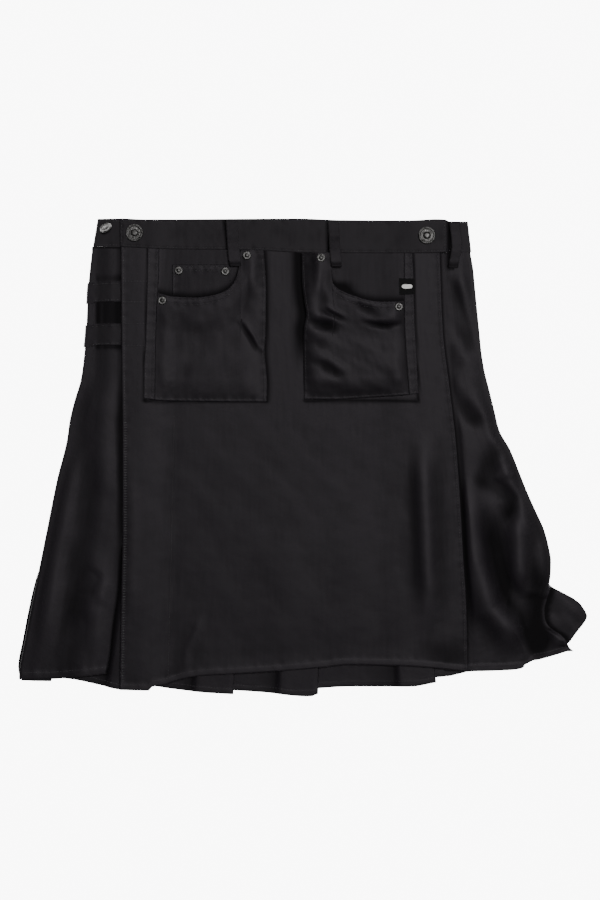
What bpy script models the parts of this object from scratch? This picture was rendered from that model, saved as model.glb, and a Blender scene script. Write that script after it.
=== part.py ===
"""A black utility kilt, laid flat with its front up.

The table is the plane z = 0. +X runs to the right across the front, +Y towards
the waist. The tables below are in millimetres, and the wall builder turns them
into metres. Each piece of cloth is a closed wall: a grid of points on the
middle of the cloth, moved half the thickness out to each side.
"""

import math
from collections import namedtuple

import bmesh
import bpy
import numpy as np
from mathutils import Euler, Matrix, Vector

MM = 0.001

# Driving sizes, in millimetres
CLOTH = 1.0
SEAM = 0.35
LAYER = CLOTH + SEAM
BAND_CLOTH = 2.0
FOLD_RADIUS = LAYER / 2
HALF = CLOTH / 2
SEAT_GAP = 0.3

# Heights of the middle of each layer above the table
TABLE_LAYER = HALF
OVER_PLEATS = TABLE_LAYER + 3 * LAYER
SIDE_EDGE_LEVEL = OVER_PLEATS + LAYER
APRON_EDGE_LEVEL = SIDE_EDGE_LEVEL + LAYER
BAND_BACK_LEVEL = BAND_CLOTH / 2
BAND_WRAP_LEVEL = 4.4
BAND_FRONT_LEVEL = BAND_WRAP_LEVEL + BAND_CLOTH + SEAM
BAND_FRONT_SAG = 4.5
APRON_SLACK = 0.4

# The left hip panel is folded under beside the apron by this much, and its upper
# layer comes down to the pleats past that return
LEFT_RETURN = 24.0
LEFT_STEP_STARTS, LEFT_STEP_ENDS = 26.0, 47.0

# Outlines: a row gives a place along the outline and the outline's place across it
LEFT_OUTLINE = ((-241, -323.5), (-208, -317.2), (-162, -308.1), (-117, -299.0), (-71, -289.8),
                (-26, -280.7), (20, -269.3), (43, -265.9), (66, -260.2), (88, -253.6),
                (109, -250.5), (145, -247.3), (191, -245.2), (214, -243.1), (234, -240.8))
LEFT_INNER_EDGE = ((-245, -223.7), (-226, -220.3), (-186, -215.7), (-152, -210.5), (-112, -207.8),
                   (-72, -200.9), (8, -192.9), (128, -190.7), (239, -190.7))
LEFT_HEM = ((-327, -251.5), (-320, -252.6), (-289, -252.2), (-254, -249.6), (-223, -246.2))
RIGHT_OUTLINE = ((-220.6, 308.1), (-216, 303.4), (-210, 300.2), (-202.5, 294.0), (-197.5, 286.5),
                 (-190.5, 278.6), (-183, 275.6), (-173.5, 275.0), (-162, 277.6), (-149, 281.6),
                 (-134, 282.9), (-117, 283.2), (-105, 281.3), (-83, 275.6), (-60, 265.3),
                 (-37, 255.1), (-14, 246.0), (8.5, 236.8), (31, 224.3), (54, 218.6), (77, 212.9),
                 (100, 207.2), (122, 203.8), (145, 201.5), (191, 196.9), (214, 194.7), (234, 191.2))
RIGHT_HEM = ((168, -242.8), (189, -243.4), (236, -242.2), (255, -239.6), (258.6, -233.6),
             (275.6, -229.7), (292.7, -225.1), (308.1, -220.6))
APRON_LEFT = ((-264.5, -208.9), (-163, -207.2), (-83, -205.6), (8, -205.6), (128, -206.8), (240, -207.6))
APRON_RIGHT = ((-246, 187.2), (-180, 186.0), (-110.6, 182.1), (-31, 177.6), (27, 173.0), (84, 166.2),
               (142, 159.3), (234, 155.5))
APRON_HEM = ((-209, -264.3), (-176, -265.2), (-172, -261), (-160, -258.8), (-136, -251.5),
             (-117, -248.4), (-72, -245.8), (-30, -243.2), (20, -239.0), (53, -235.6), (76, -236.0),
             (110, -236.8), (145, -239.0), (187, -243.6))
WAIST_SEAM = ((-240, 240.0), (-209, 239.4), (-160, 237.2), (-60, 235.9), (10, 232.8), (124, 232.4),
              (165, 233.0), (192, 233.6))
TOP_EDGE = ((-234, 271.6), (-209, 272.0), (-179, 270.9), (-118, 271.3), (-4, 272.0), (42, 270.3),
            (122, 269.8), (152, 271.2), (162, 270.6), (166, 268.8), (188, 268.5))

# Back pleats: the folded edge at the waist and at the hem, and the pleat's depth at both
PLEAT_WAIST_Y, PLEAT_HEM_Y = 233.0, -254.0
Pleat = namedtuple("Pleat", "waist hem waist_depth hem_depth")
PLEATS = (Pleat(-165, -287.6, 20, 15),
          Pleat(-120, -177.0, 28, 38),
          Pleat(-45, -79.2, 28, 38),
          Pleat(35, 16.8, 28, 38),
          Pleat(112, 150.6, 26, 36))
# The hem of the stretch of cloth that ends at each pleat's folded edge
PLEAT_HEMS = (((-326, -253.0), (-320, -254.2), (-287, -254.8)),
              ((-320, -247), (-285, -250.3), (-261, -253.1), (-234, -258.8), (-207, -264.5), (-177, -265.3)),
              ((-215, -257), (-175, -259.9), (-152, -263.3), (-111, -267.9), (-79, -269.8)),
              ((-118, -263), (-75.5, -265.6), (-42.5, -267.9), (-3.7, -271.9), (7.7, -272.3), (17, -269.0)),
              ((-22, -266), (19, -263.0), (53, -261.1), (122, -261.1), (150, -256.4)),
              ((110, -255), (152.5, -251.9), (179, -249.7), (224, -248.5), (260, -240.0), (304, -210.9),
               (311, -200), (323.6, -180)))
LOW_LEFT_EDGE = ((-254, -321.0), (-240, -325.2), (-208, -319.7), (-162, -310.6), (-140, -305.2),
                 (-117, -297.5), (-71, -287), (-5, -268), (60, -243), (170, -227), (234, -224))
LOW_SEAM = ((-255, 186), (234, 140))
LOW_RIGHT_EDGE = ((-180, 323.6), (-175, 321.6), (-166, 315.5), (-160, 307.5), (-152.2, 292.7),
                  (-147.6, 283.6), (-141, 277.5), (-117, 276), (-83, 270), (-37, 249), (8.5, 231),
                  (54, 212), (122, 197), (191, 190), (234, 185))

# A crease or ridge: its path over the cloth, its half width, its height (down if
# negative), and the height of the lip that the cloth throws up on its left side
Crease = namedtuple("Crease", "path width height lip")

APRON_CREASES = (
    Crease(((-196, 20), (-194, -90), (-197, -210)), 7, 1.6, 0),
    Crease(((133, 42), (139, -90), (141, -150), (138, -215)), 11, 5.0, 0),
    Crease(((123, 60), (121, -50), (125, -120), (136, -175), (158, -222)), 11, -1.2, 0),
    Crease(((152, -180), (170, -222), (176, -240)), 16, -1.4, 0),
    Crease(((-123, -172), (-131, -197), (-142, -220), (-143, -246)), 5, 1.8, 0),
    Crease(((-20, -60), (-12, -150), (-18, -240)), 30, 1.5, 0),
    Crease(((60, -40), (66, -140), (60, -236)), 34, 1.6, 0))
LEFT_SIDE_CREASES = (
    Crease(((-262, 20), (-286, -110), (-297, -245)), 11, 4.5, 0),
    Crease(((-232, -126), (-250, -160)), 11, -1.5, 2.0),
    Crease(((-250, -170), (-262, -215), (-262, -245)), 16, -1.2, 0),
    Crease(((-226, -100), (-236, -190), (-238, -244)), 13, 3.5, 0),
    Crease(((-224, 100), (-232, 20), (-226, -60)), 14, 2.0, 0))
RIGHT_SIDE_CREASES = (
    Crease(((158, 200), (173, 177), (185, 150), (197, 128)), 8, -2.6, 2.6),
    Crease(((160, 142), (173, 120), (184, 106), (196, 100)), 7, -2.2, 2.4),
    Crease(((172, 72), (190, 46), (207, 38), (222, 34)), 9, -2.4, 3.6),
    Crease(((222, 22), (213, -3), (208, -26), (224, -37), (236, -48), (231, -72), (230, -92)), 7, -4.0, 3.5),
    Crease(((206, 62), (226, 6), (244, -24)), 12, 4.5, 0),
    Crease(((236, -2), (240, -26)), 8, 4.0, 0),
    Crease(((244, -60), (248, -110), (247, -150)), 9, 8.5, 0),
    Crease(((184, -52), (194, -117), (212, -172), (233, -196), (252, -228)), 14, 15.0, 0),
    Crease(((205, -70), (216, -120), (232, -165), (256, -200)), 9, -2.0, 0),
    Crease(((268, -152), (264, -190), (270, -222)), 13, -5.0, 0),
    Crease(((275, -100), (282, -140)), 8, 3.0, 0),
    Crease(((282, -178), (286, -192), (302, -214)), 12, 5.0, 0))
POCKET_LEFT_CREASES = (
    Crease(((-79, 154), (-66, 145), (-58, 131), (-51, 123), (-44, 117)), 4.0, -2.0, 1.6),
    Crease(((-143, 149), (-129, 151), (-112, 157), (-97, 162)), 8, 1.2, 0),
    Crease(((-142, 109), (-135, 96), (-129, 88)), 6, -1.4, 0.8),
    Crease(((-70, 225), (-58, 190), (-52, 150)), 9, 1.5, 0))
POCKET_RIGHT_CREASES = (
    Crease(((2, 158), (14, 151), (31, 149), (39, 143)), 5.5, -5.5, 2.4),
    Crease(((20, 170), (30, 164), (48, 155)), 3.5, -1.8, 1.2),
    Crease(((62, 172), (74, 167), (86, 163)), 6, -2.6, 0),
    Crease(((70, 151), (93, 150), (112, 151)), 4.5, -2.8, 2.6),
    Crease(((8, 109), (25, 103), (36, 95), (51, 87)), 6, -3.8, 1.8),
    Crease(((15, 80), (54, 79)), 7, -2.0, 0),
    Crease(((88, 88), (110, 90)), 7, -1.8, 0),
    Crease(((16, 134), (22, 120)), 6, -1.2, 0),
    Crease(((8, 215), (7, 170), (12, 130)), 11, 2.4, 0))

# Pockets: the edges of each piece
POCKET_LEFT_EDGE = ((64, -181.4), (97, -181.4), (128, -179.8), (190, -177.8), (237, -177.0))
POCKET_LEFT_SEAM = ((64, -168.6), (128, -167.6), (168, -166.4), (210, -164.2), (237, -163.8))
POCKET_LEFT_RIGHT_EDGE = ((64, -42.0), (84, -41.3), (122, -44.0), (140, -43.0), (191, -42.4), (237, -45.0))
POCKET_LEFT_BOTTOM = ((-182, 67.0), (-160, 64.6), (-42, 63.0))
POCKET_LEFT_MOUTH = ((-165, 187.0), (-149.6, 183.4), (-123.4, 182.0), (-100.6, 185.2), (-85.8, 191.5),
                     (-79, 199.0), (-74.6, 209.8), (-72.4, 222.0), (-71.6, 235.5), (-60, 236))
POCKET_LEFT_FACING_END = ((-164, 178), (-123, 174), (-98, 177), (-82, 184), (-71, 196), (-63.5, 212))
POCKET_RIGHT_EDGE = ((66, 0.9), (111, 0.1), (145, 0.6), (162, 3.6), (179, 0.9), (202, -1.4), (233, -2.0))
POCKET_RIGHT_SEAM = ((70, 120.4), (82, 119.2), (105, 117.6), (128, 115.8), (156, 114.6), (233, 114.3))
POCKET_RIGHT_STRIP_EDGE = ((72, 131.0), (99, 129.8), (122, 128.4), (168, 126.3), (207, 125.6), (233, 124.0))
POCKET_RIGHT_BOTTOM = ((0, 66.4), (30, 66.0), (76, 68.2), (116, 71.0), (132, 73.0))
POCKET_RIGHT_MOUTH = ((20, 232.6), (31.4, 232.4), (32.2, 204), (36.2, 195), (47.6, 187.6), (59, 183.4),
                      (76, 178.6), (88, 177.2), (104, 177.2), (115, 178.4))
POCKET_RIGHT_FACING_END = ((23, 206), (30, 190), (44, 179), (70, 171), (88, 169.5), (114, 170.6))

CLOTH_COLOUR = (0.022, 0.020, 0.025, 1.0)
BAND_COLOUR = (0.026, 0.024, 0.029, 1.0)
METAL_COLOUR = (0.62, 0.61, 0.60, 1.0)
LABEL_COLOUR = (0.012, 0.012, 0.013, 1.0)


def clear_scene():
    for old in list(bpy.data.objects):
        bpy.data.objects.remove(old, do_unlink=True)


def make_material(name, colour, roughness, metallic=0.0):
    material = bpy.data.materials.new(name)
    material.use_nodes = True
    shader = material.node_tree.nodes["Principled BSDF"]
    shader.inputs["Base Color"].default_value = colour
    shader.inputs["Roughness"].default_value = roughness
    shader.inputs["Metallic"].default_value = metallic
    material.diffuse_color = colour
    return material


def curve_at(table, place):
    """Value of the smooth curve through a table's rows, which never overshoots them."""
    rows = sorted(table)
    xs = np.array([row[0] for row in rows], float)
    ys = np.array([row[1] for row in rows], float)
    gaps = np.diff(xs)
    slopes = np.diff(ys) / gaps
    bends = np.zeros_like(xs)
    bends[0] = slopes[0]
    bends[-1] = slopes[-1]
    for i in range(1, len(xs) - 1):
        if slopes[i - 1] * slopes[i] > 0:
            first = 2 * gaps[i] + gaps[i - 1]
            second = gaps[i] + 2 * gaps[i - 1]
            bends[i] = (first + second) / (first / slopes[i - 1] + second / slopes[i])
    at = np.clip(np.asarray(place, float), xs[0], xs[-1])
    k = np.clip(np.searchsorted(xs, at) - 1, 0, len(gaps) - 1)
    t = (at - xs[k]) / gaps[k]
    rise = (2 * t ** 3 - 3 * t ** 2 + 1) * ys[k] + (t ** 3 - 2 * t ** 2 + t) * gaps[k] * bends[k]
    return rise + (3 * t ** 2 - 2 * t ** 3) * ys[k + 1] + (t ** 3 - t ** 2) * gaps[k] * bends[k + 1]


def smooth_step(value, low, high):
    """0 below low, 1 above high, and a smooth rise between."""
    t = np.clip((np.asarray(value, float) - low) / (high - low), 0.0, 1.0)
    return t * t * (3 - 2 * t)


def crease_height(x, y, crease):
    """Height that one crease adds at each point of the cloth."""
    ends = 0.3
    path = np.array(crease.path, float)
    spans = np.linalg.norm(np.diff(path, axis=0), axis=1)
    total = spans.sum()
    best = np.full(np.shape(x), 1e9)
    along = np.zeros(np.shape(x))
    side = np.zeros(np.shape(x))
    start = 0.0
    for (ax, ay), (bx, by), span in zip(path[:-1], path[1:], spans):
        dx, dy = (bx - ax) / span, (by - ay) / span
        run = np.clip((x - ax) * dx + (y - ay) * dy, 0, span)
        off_x, off_y = x - ax - run * dx, y - ay - run * dy
        gap = np.hypot(off_x, off_y)
        nearer = gap < best
        best = np.where(nearer, gap, best)
        along = np.where(nearer, (start + run) / total, along)
        side = np.where(nearer, np.sign(dx * off_y - dy * off_x), side)
        start += span
    fade = smooth_step(along, 0, ends) * smooth_step(1 - along, 0, ends)
    shape = crease.height * np.exp(-(best / crease.width) ** 2)
    lip = crease.lip * np.exp(-((side * best - 1.7 * crease.width) / (1.1 * crease.width)) ** 2)
    return (shape + lip) * fade


def relief(x, y, creases):
    return sum(crease_height(x, y, crease) for crease in creases)


def floor_at(height, lowest):
    """Height held above its lowest value, with a soft corner."""
    corner = 0.8
    over = np.clip(height - lowest, 0.0, None)
    return lowest + over * over / (over + corner)


def apron_height(x, y):
    """Middle of the apron's cloth: high over the side panels, low between them."""
    left = (APRON_EDGE_LEVEL - OVER_PLEATS) * (1 - smooth_step(x, -186, -140))
    right = LAYER * smooth_step(x, 85, 124)
    lowest = OVER_PLEATS + left + right
    return floor_at(lowest + APRON_SLACK + relief(x, y, APRON_CREASES), lowest)


def left_side_height(x, y):
    """Middle of the left hip panel's upper layer: high over its return, low over the pleats."""
    edge = curve_at(LEFT_INNER_EDGE, y)
    outline = curve_at(LEFT_OUTLINE, y)
    drop = smooth_step(edge - x, LEFT_STEP_STARTS, LEFT_STEP_ENDS)
    level = OVER_PLEATS * drop + SIDE_EDGE_LEVEL * (1 - drop)
    away = smooth_step(x - outline, 4, 22) * smooth_step(edge - x, 3, 22)
    return level + away * np.maximum(relief(x, y, LEFT_SIDE_CREASES), -0.1)


def right_side_height(x, y):
    """Middle of the right hip panel's upper layer, which lies flat under the apron."""
    outline = curve_at(RIGHT_OUTLINE, y)
    away = smooth_step(outline - x, 2, 20)
    puff = 2.6 * smooth_step(x, 160, 185) * smooth_step(y, -250, -100)
    free_edge = smooth_step(-y, 140, 165)
    under_apron = 1 - smooth_step(x - curve_at(APRON_RIGHT, y), 2, 16)
    shaped = (puff + relief(x, y, RIGHT_SIDE_CREASES)) * (away + (1 - away) * free_edge)
    lowest = 3.3 + 1.5 * (1 - smooth_step(x, 150, 175))
    return floor_at(OVER_PLEATS + shaped * (1 - under_apron), lowest)


def pocket_puff(x, y, left, right, bottom, height):
    """How far a pocket stands off the apron away from its sewn edges."""
    across = smooth_step(x - left, 0, 26) * smooth_step(right - x, 0, 26)
    return height * across * smooth_step(y - bottom, 0, 26)


def mouth_lift(x, y, facing_end, side):
    """Lift of the pocket's front over the facing that lies behind its mouth; side runs off the facing."""
    fade, overlap, shadow = 13.0, 2.0, 0.9
    return (LAYER + shadow) * side * smooth_step(y - curve_at(facing_end, x), -fade, -overlap)


def pocket_left_height(x, y):
    """Middle of the left pocket's front."""
    lift = mouth_lift(x, y, POCKET_LEFT_FACING_END, smooth_step(-x, 48, 60))
    puff = pocket_puff(x, y, -181, -42, 64, 2.2) + 2.2 * smooth_step(x, -66, -46) * smooth_step(y, 120, 190)
    shaped = np.maximum(puff + relief(x, y, POCKET_LEFT_CREASES), 0.0)
    return facing_height(x, y) + lift + shaped


def pocket_right_height(x, y):
    """Middle of the right pocket's front, which stands off the apron on its left side."""
    lift = mouth_lift(x, y, POCKET_RIGHT_FACING_END, smooth_step(x, 8, 20) * smooth_step(119 - x, 0, 3))
    left_stand = 3.4 * (1 - smooth_step(x, 10, 40)) * smooth_step(y, 110, 160)
    puff = pocket_puff(x, y, -6, 128, 66, 4.6) + left_stand
    shaped = np.maximum(puff + relief(x, y, POCKET_RIGHT_CREASES), 0.0)
    return facing_height(x, y) + lift + shaped


def facing_height(x, y):
    """Middle of a layer that lies on the apron."""
    return apron_height(x, y) + LAYER


def coin_height(x, y):
    """Middle of a layer that lies on a pocket's facing."""
    return facing_height(x, y) + LAYER


def cloth_object(name, middle, thickness, material):
    """A closed wall round a grid of middle points, rows towards the hem, columns to the right."""
    grid = np.array(middle, float)
    normal, shortened = wall_normals(grid)
    offset = normal * (thickness / 2) / np.maximum(shortened, 0.7)
    rows, columns = grid.shape[:2]
    mesh = bmesh.new()
    sides = []
    for points in (grid + offset, grid - offset):
        sides.append([[mesh.verts.new(Vector(point) * MM) for point in row] for row in points])
    outer, inner = sides
    for i in range(rows - 1):
        for j in range(columns - 1):
            mesh.faces.new((outer[i][j], outer[i + 1][j], outer[i + 1][j + 1], outer[i][j + 1]))
            mesh.faces.new((inner[i][j], inner[i][j + 1], inner[i + 1][j + 1], inner[i + 1][j]))
    rim = [(0, j) for j in range(columns)] + [(i, columns - 1) for i in range(1, rows)]
    rim += [(rows - 1, j) for j in range(columns - 2, -1, -1)] + [(i, 0) for i in range(rows - 2, 0, -1)]
    for (i, j), (k, l) in zip(rim, rim[1:] + rim[:1]):
        mesh.faces.new((outer[i][j], outer[k][l], inner[k][l], inner[i][j]))
    return add_object(name, mesh, material)


def wall_normals(grid):
    """Direction out of the cloth at each point, and how much a fold there shortens it."""
    before_row, after_row = steps_round(grid, 0)
    before, after = steps_round(grid, 1)
    down = before_row + after_row
    first = unit(np.cross(down, before))
    second = unit(np.cross(down, after))
    mean = (first + second) / 2
    return unit(mean), np.linalg.norm(mean, axis=2, keepdims=True)


def steps_round(grid, axis):
    """Unit steps to each point from the one before it, and on to the one after it."""
    steps = unit(np.diff(grid, axis=axis))
    first = np.take(steps, [0], axis=axis)
    last = np.take(steps, [-1], axis=axis)
    return np.concatenate([first, steps], axis=axis), np.concatenate([steps, last], axis=axis)


def unit(vectors):
    return vectors / np.linalg.norm(vectors, axis=2, keepdims=True)


def add_object(name, mesh, material, smooth_angle=40):
    bmesh.ops.recalc_face_normals(mesh, faces=mesh.faces)
    data = bpy.data.meshes.new(name)
    mesh.to_mesh(data)
    mesh.free()
    data.materials.append(material)
    data.shade_smooth()
    data.set_sharp_from_angle(angle=math.radians(smooth_angle))
    made = bpy.data.objects.new(name, data)
    bpy.context.scene.collection.objects.link(made)
    return made


def panel_points(left, right, top, bottom, across, down, height):
    """Grid of a flat panel between two side edges and a top and a bottom edge."""
    rows = []
    for part in down:
        row = []
        for share in across:
            y_top = edge_crossing(left, right, top, share)
            y_bottom = edge_crossing(left, right, bottom, share)
            y = y_top + part * (y_bottom - y_top)
            x = edge_x(left, y) * (1 - share) + edge_x(right, y) * share
            row.append((x, y))
        rows.append(row)
    plan = np.array(rows)
    z = height(plan[..., 0], plan[..., 1])
    return np.dstack([plan[..., 0], plan[..., 1], z])


def patch_points(left, right, top, bottom, across, down):
    """Plan of a panel spanned between four edges, each a run of points."""
    upper, lower = run_along(top, across), run_along(bottom, across)
    first, last = run_along(left, down), run_along(right, down)
    u = np.array(across)[None, :, None]
    v = np.array(down)[:, None, None]
    corners = (1 - v) * ((1 - u) * upper[0] + u * upper[-1]) + v * ((1 - u) * lower[0] + u * lower[-1])
    return (1 - v) * upper[None] + v * lower[None] + (1 - u) * first[:, None] + u * last[:, None] - corners


def run_along(points, shares):
    """Points at given shares of the length of a run of points."""
    run = np.array(points, float)
    length = np.concatenate([[0.0], np.cumsum(np.linalg.norm(np.diff(run, axis=0), axis=1))])
    at = np.array(shares) * length[-1]
    return np.column_stack([np.interp(at, length, run[:, 0]), np.interp(at, length, run[:, 1])])


def edge_x(edge, y):
    return float(curve_at(edge, y))


def edge_crossing(left, right, ends, share):
    """Where a line that runs down a panel meets the panel's top or bottom edge."""
    y = 0.5 * (ends[0][1] + ends[-1][1])
    for _ in range(12):
        x = edge_x(left, y) * (1 - share) + edge_x(right, y) * share
        y = 0.5 * y + 0.5 * float(curve_at(ends, x))
    return y


def even(count, start=0.0, end=1.0):
    return [start + (end - start) * i / (count - 1) for i in range(count)]


def moved(edge, across):
    """The same edge moved sideways."""
    return tuple((y, x + across) for y, x in edge)


def lowered(edge, by):
    """The same top or bottom edge moved towards the hem."""
    return tuple((x, y - by) for x, y in edge)


def half_turn(x, top, bottom, facing, steps=4):
    """Section of a fold from its top level to its bottom level, bulging to facing = 1 or -1."""
    radius = (top - bottom) / 2
    middle = (top + bottom) / 2
    angles = [math.pi * i / steps for i in range(steps + 1)]
    return [(x + facing * radius * math.sin(a), middle + radius * math.cos(a)) for a in angles]


def fold_x(pleat, y, depth_share=0.0):
    """Place of a pleat's folded edge, or of a place some share of its depth behind that edge."""
    t = (PLEAT_WAIST_Y - y) / (PLEAT_WAIST_Y - PLEAT_HEM_Y)
    folded = pleat.waist + (pleat.hem - pleat.waist) * t
    depth = pleat.waist_depth + (pleat.hem_depth - pleat.waist_depth) * t
    return folded - depth * depth_share


def back_columns():
    """Columns of the pleated back, left to right: x as a function of y, the height and the hem."""
    top, middle, low = TABLE_LAYER + 2 * LAYER, TABLE_LAYER + LAYER, TABLE_LAYER
    rise_starts, rise_ends = 12.0, 3.0
    past_fold = 1.0
    columns = []
    first, last = PLEATS[0], PLEATS[-1]
    for share in (0.0, 0.5, 0.85):
        columns.append((lambda y, s=share: edge_x(LOW_LEFT_EDGE, y) * (1 - s)
                        + (fold_x(first, y, 1.0) - rise_ends) * s, low, PLEAT_HEMS[0]))
    for k, pleat in enumerate(PLEATS):
        hem, next_hem = PLEAT_HEMS[k], PLEAT_HEMS[k + 1]
        if k:
            before = PLEATS[k - 1]
            for share in (0.0, 0.5, 1.0):
                columns.append((lambda y, s=share, a=before, b=pleat: (fold_x(a, y) + past_fold) * (1 - s)
                                + (fold_x(b, y, 1.0) - rise_starts) * s, low, hem))
        for share in (0.35, 0.7, 1.0):
            run = rise_starts + (rise_ends - rise_starts) * share
            rise = low + (top - low) * float(smooth_step(share, 0, 1))
            columns.append((lambda y, p=pleat, r=run: fold_x(p, y, 1.0) - r, rise, hem))
        columns.append((lambda y, p=pleat: fold_x(p, y, 0.5), top, hem))
        for dx, z in half_turn(0.0, top, middle, 1):
            columns.append((lambda y, p=pleat, d=dx: fold_x(p, y) - FOLD_RADIUS + d, z, hem))
        for dx, z in half_turn(0.0, middle, low, -1):
            columns.append((lambda y, p=pleat, d=dx: fold_x(p, y, 1.0) + FOLD_RADIUS + d, z, next_hem))
        columns.append((lambda y, p=pleat: fold_x(p, y, 0.4), low, next_hem))
    columns.append((lambda y: fold_x(last, y) + past_fold, low, PLEAT_HEMS[-1]))
    columns.append((lambda y: edge_x(LOW_SEAM, y) - SEAM / 2, low, PLEAT_HEMS[-1]))
    return columns


def build_back(materials):
    """The pleated back, and the plain stretch right of its seam whose hem corner shows."""
    columns = back_columns()
    down = (0.0, 0.15, 0.32, 0.5, 0.68, 0.84, 1.0)
    grid = np.zeros((len(down), len(columns), 3))
    for j, (place, z, hem) in enumerate(columns):
        end = PLEAT_HEM_Y
        for _ in range(8):
            end = 0.5 * end + 0.5 * float(curve_at(hem, place(end)))
        start = float(curve_at(WAIST_SEAM, place(PLEAT_WAIST_Y))) - SEAM
        for i, part in enumerate(down):
            y = start + part * (end - start)
            grid[i, j] = (place(y), y, z)
    cloth_object("back_panel", grid, CLOTH, materials["cloth"])
    hem_start = (edge_x(LOW_SEAM, -249.5) + SEAM / 2, -249.3)
    hem = [hem_start] + [point for point in PLEAT_HEMS[-1] if point[0] > hem_start[0]]
    top_y = float(curve_at(WAIST_SEAM, 160)) - SEAM
    low_right = [(x, y) for y, x in reversed(LOW_RIGHT_EDGE) if y < top_y]
    top_right = (low_right[0][0] - 1.0, top_y)
    right = [top_right] + low_right[1:] + [hem[-1]]
    top_left = (edge_x(LOW_SEAM, top_y) + SEAM / 2, top_y)
    plan = patch_points([top_left, hem_start], right, [top_left, top_right], hem, even(7), even(17))
    cloth_object("right_under_panel", np.dstack([plan, np.full(plan.shape[:2], TABLE_LAYER)]), CLOTH,
                 materials["cloth"])


def build_left_side(materials):
    """Left hip panel: round the left fold, across the top, and back under beside the apron."""
    radius, short_return = FOLD_RADIUS * 2, 4.0
    low = OVER_PLEATS - 2 * radius
    across = (0.0, 0.08, 0.18, 0.28, 0.4, 0.52, 0.64, 0.76, 0.86, 0.94, 1.0)
    rows = []
    left, right = moved(LEFT_OUTLINE, HALF + radius), moved(LEFT_INNER_EDGE, -FOLD_RADIUS)
    for part in even(17):
        row = []
        for share in across:
            start = edge_crossing(left, right, WAIST_SEAM, share) - SEAM
            end = edge_crossing(left, right, LEFT_HEM, share)
            y = start + part * (end - start)
            x = edge_x(left, y) * (1 - share) + edge_x(right, y) * share
            row.append((x, y, float(left_side_height(x, y))))
        first, last = row[0], row[-1]
        fold = [(first[0] + dx, first[1], z) for dx, z in half_turn(0.0, first[2], low, -1, 5)[1:]]
        fold.append((first[0] + short_return, first[1], low))
        under = [(last[0] + dx, last[1], z) for dx, z in half_turn(0.0, last[2], last[2] - LAYER, 1)[1:]]
        under.append((last[0] - LEFT_RETURN, last[1], last[2] - LAYER))
        rows.append(fold[::-1] + row + under)
    cloth_object("left_side_panel", rows, CLOTH, materials["cloth"])


def build_right_side(materials):
    """Right hip panel: from under the apron to the rolled right edge, fluted at the hem."""
    low = TABLE_LAYER + LAYER
    across = even(9, 0.0, 0.5) + even(11, 0.55, 1.0)
    down = even(15, 0.0, 0.8) + even(11, 0.82, 1.0)
    arc_length, roll_steps, under_apron = 6.3, 5, 26.0
    inner = moved(APRON_RIGHT, -under_apron)
    rows = []
    for part in down:
        row = []
        for share in across:
            start = edge_crossing(inner, RIGHT_OUTLINE, WAIST_SEAM, share) - SEAM
            end = edge_crossing(inner, RIGHT_OUTLINE, RIGHT_HEM, share)
            y = start + part * (end - start)
            roll = roll_at(y, arc_length)
            x = edge_x(inner, y) * (1 - share) + (edge_x(RIGHT_OUTLINE, y) - roll.reach) * share
            row.append((x, y, float(right_side_height(x, y))))
        x, y, z = row[-1]
        roll = roll_at(y, arc_length)
        radius = min(roll.radius, (z - low) / (1 - math.cos(roll.turn)))
        for step in range(1, roll_steps + 1):
            angle = roll.turn * step / roll_steps
            row.append((x + radius * math.sin(angle), y, z - radius + radius * math.cos(angle)))
        end_x, _, end_z = row[-1]
        row.append((end_x + roll.tail * math.cos(roll.turn), y, end_z - roll.tail * math.sin(roll.turn)))
        rows.append(row)
    cloth_object("right_side_panel", rows, CLOTH, materials["cloth"])


# The section of the rolled right edge at one height: how far round it turns, its
# radius, the straight stretch past it, and how far it all reaches out
Roll = namedtuple("Roll", "turn radius tail reach")


def roll_at(y, arc_length):
    """The rolled right edge: a half turn down the side that opens out at the hem."""
    open_turn, shortest_tail, tail_growth = 0.16, 0.8, 8.0
    opened = float(smooth_step(-y, 128, 156))
    turn = math.pi * (1 - opened) + open_turn * opened
    radius = arc_length / turn
    tail = shortest_tail + tail_growth * (1 - float(smooth_step(-y, 96, 128)))
    reach = radius * math.sin(min(turn, math.pi / 2)) + max(0.0, tail * math.cos(turn)) + HALF
    return Roll(turn, radius, tail, reach)


def build_apron(materials):
    """The flat front panel, with more columns where it steps down off the side panels."""
    across = (0.0, 0.012, 0.03, 0.05, 0.08, 0.12, 0.16, 0.2, 0.26, 0.33, 0.41, 0.5, 0.58, 0.66, 0.73,
              0.79, 0.83, 0.86, 0.89, 0.92, 0.95, 0.975, 1.0)
    points = panel_points(APRON_LEFT, APRON_RIGHT, lowered(WAIST_SEAM, SEAM), APRON_HEM, across, even(19),
                          apron_height)
    cloth_object("front_apron", points, CLOTH, materials["cloth"])


def band_height(x):
    """Middle of the front waistband: high over the ends of the back waistband."""
    ends = 1 - smooth_step(x, -172, -130) * (1 - smooth_step(x, 92, 134))
    return BAND_FRONT_SAG + (BAND_FRONT_LEVEL - BAND_FRONT_SAG) * ends


def wrap_height(x):
    """Middle of the back waistband where it shows at the front."""
    return BAND_WRAP_LEVEL


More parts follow.
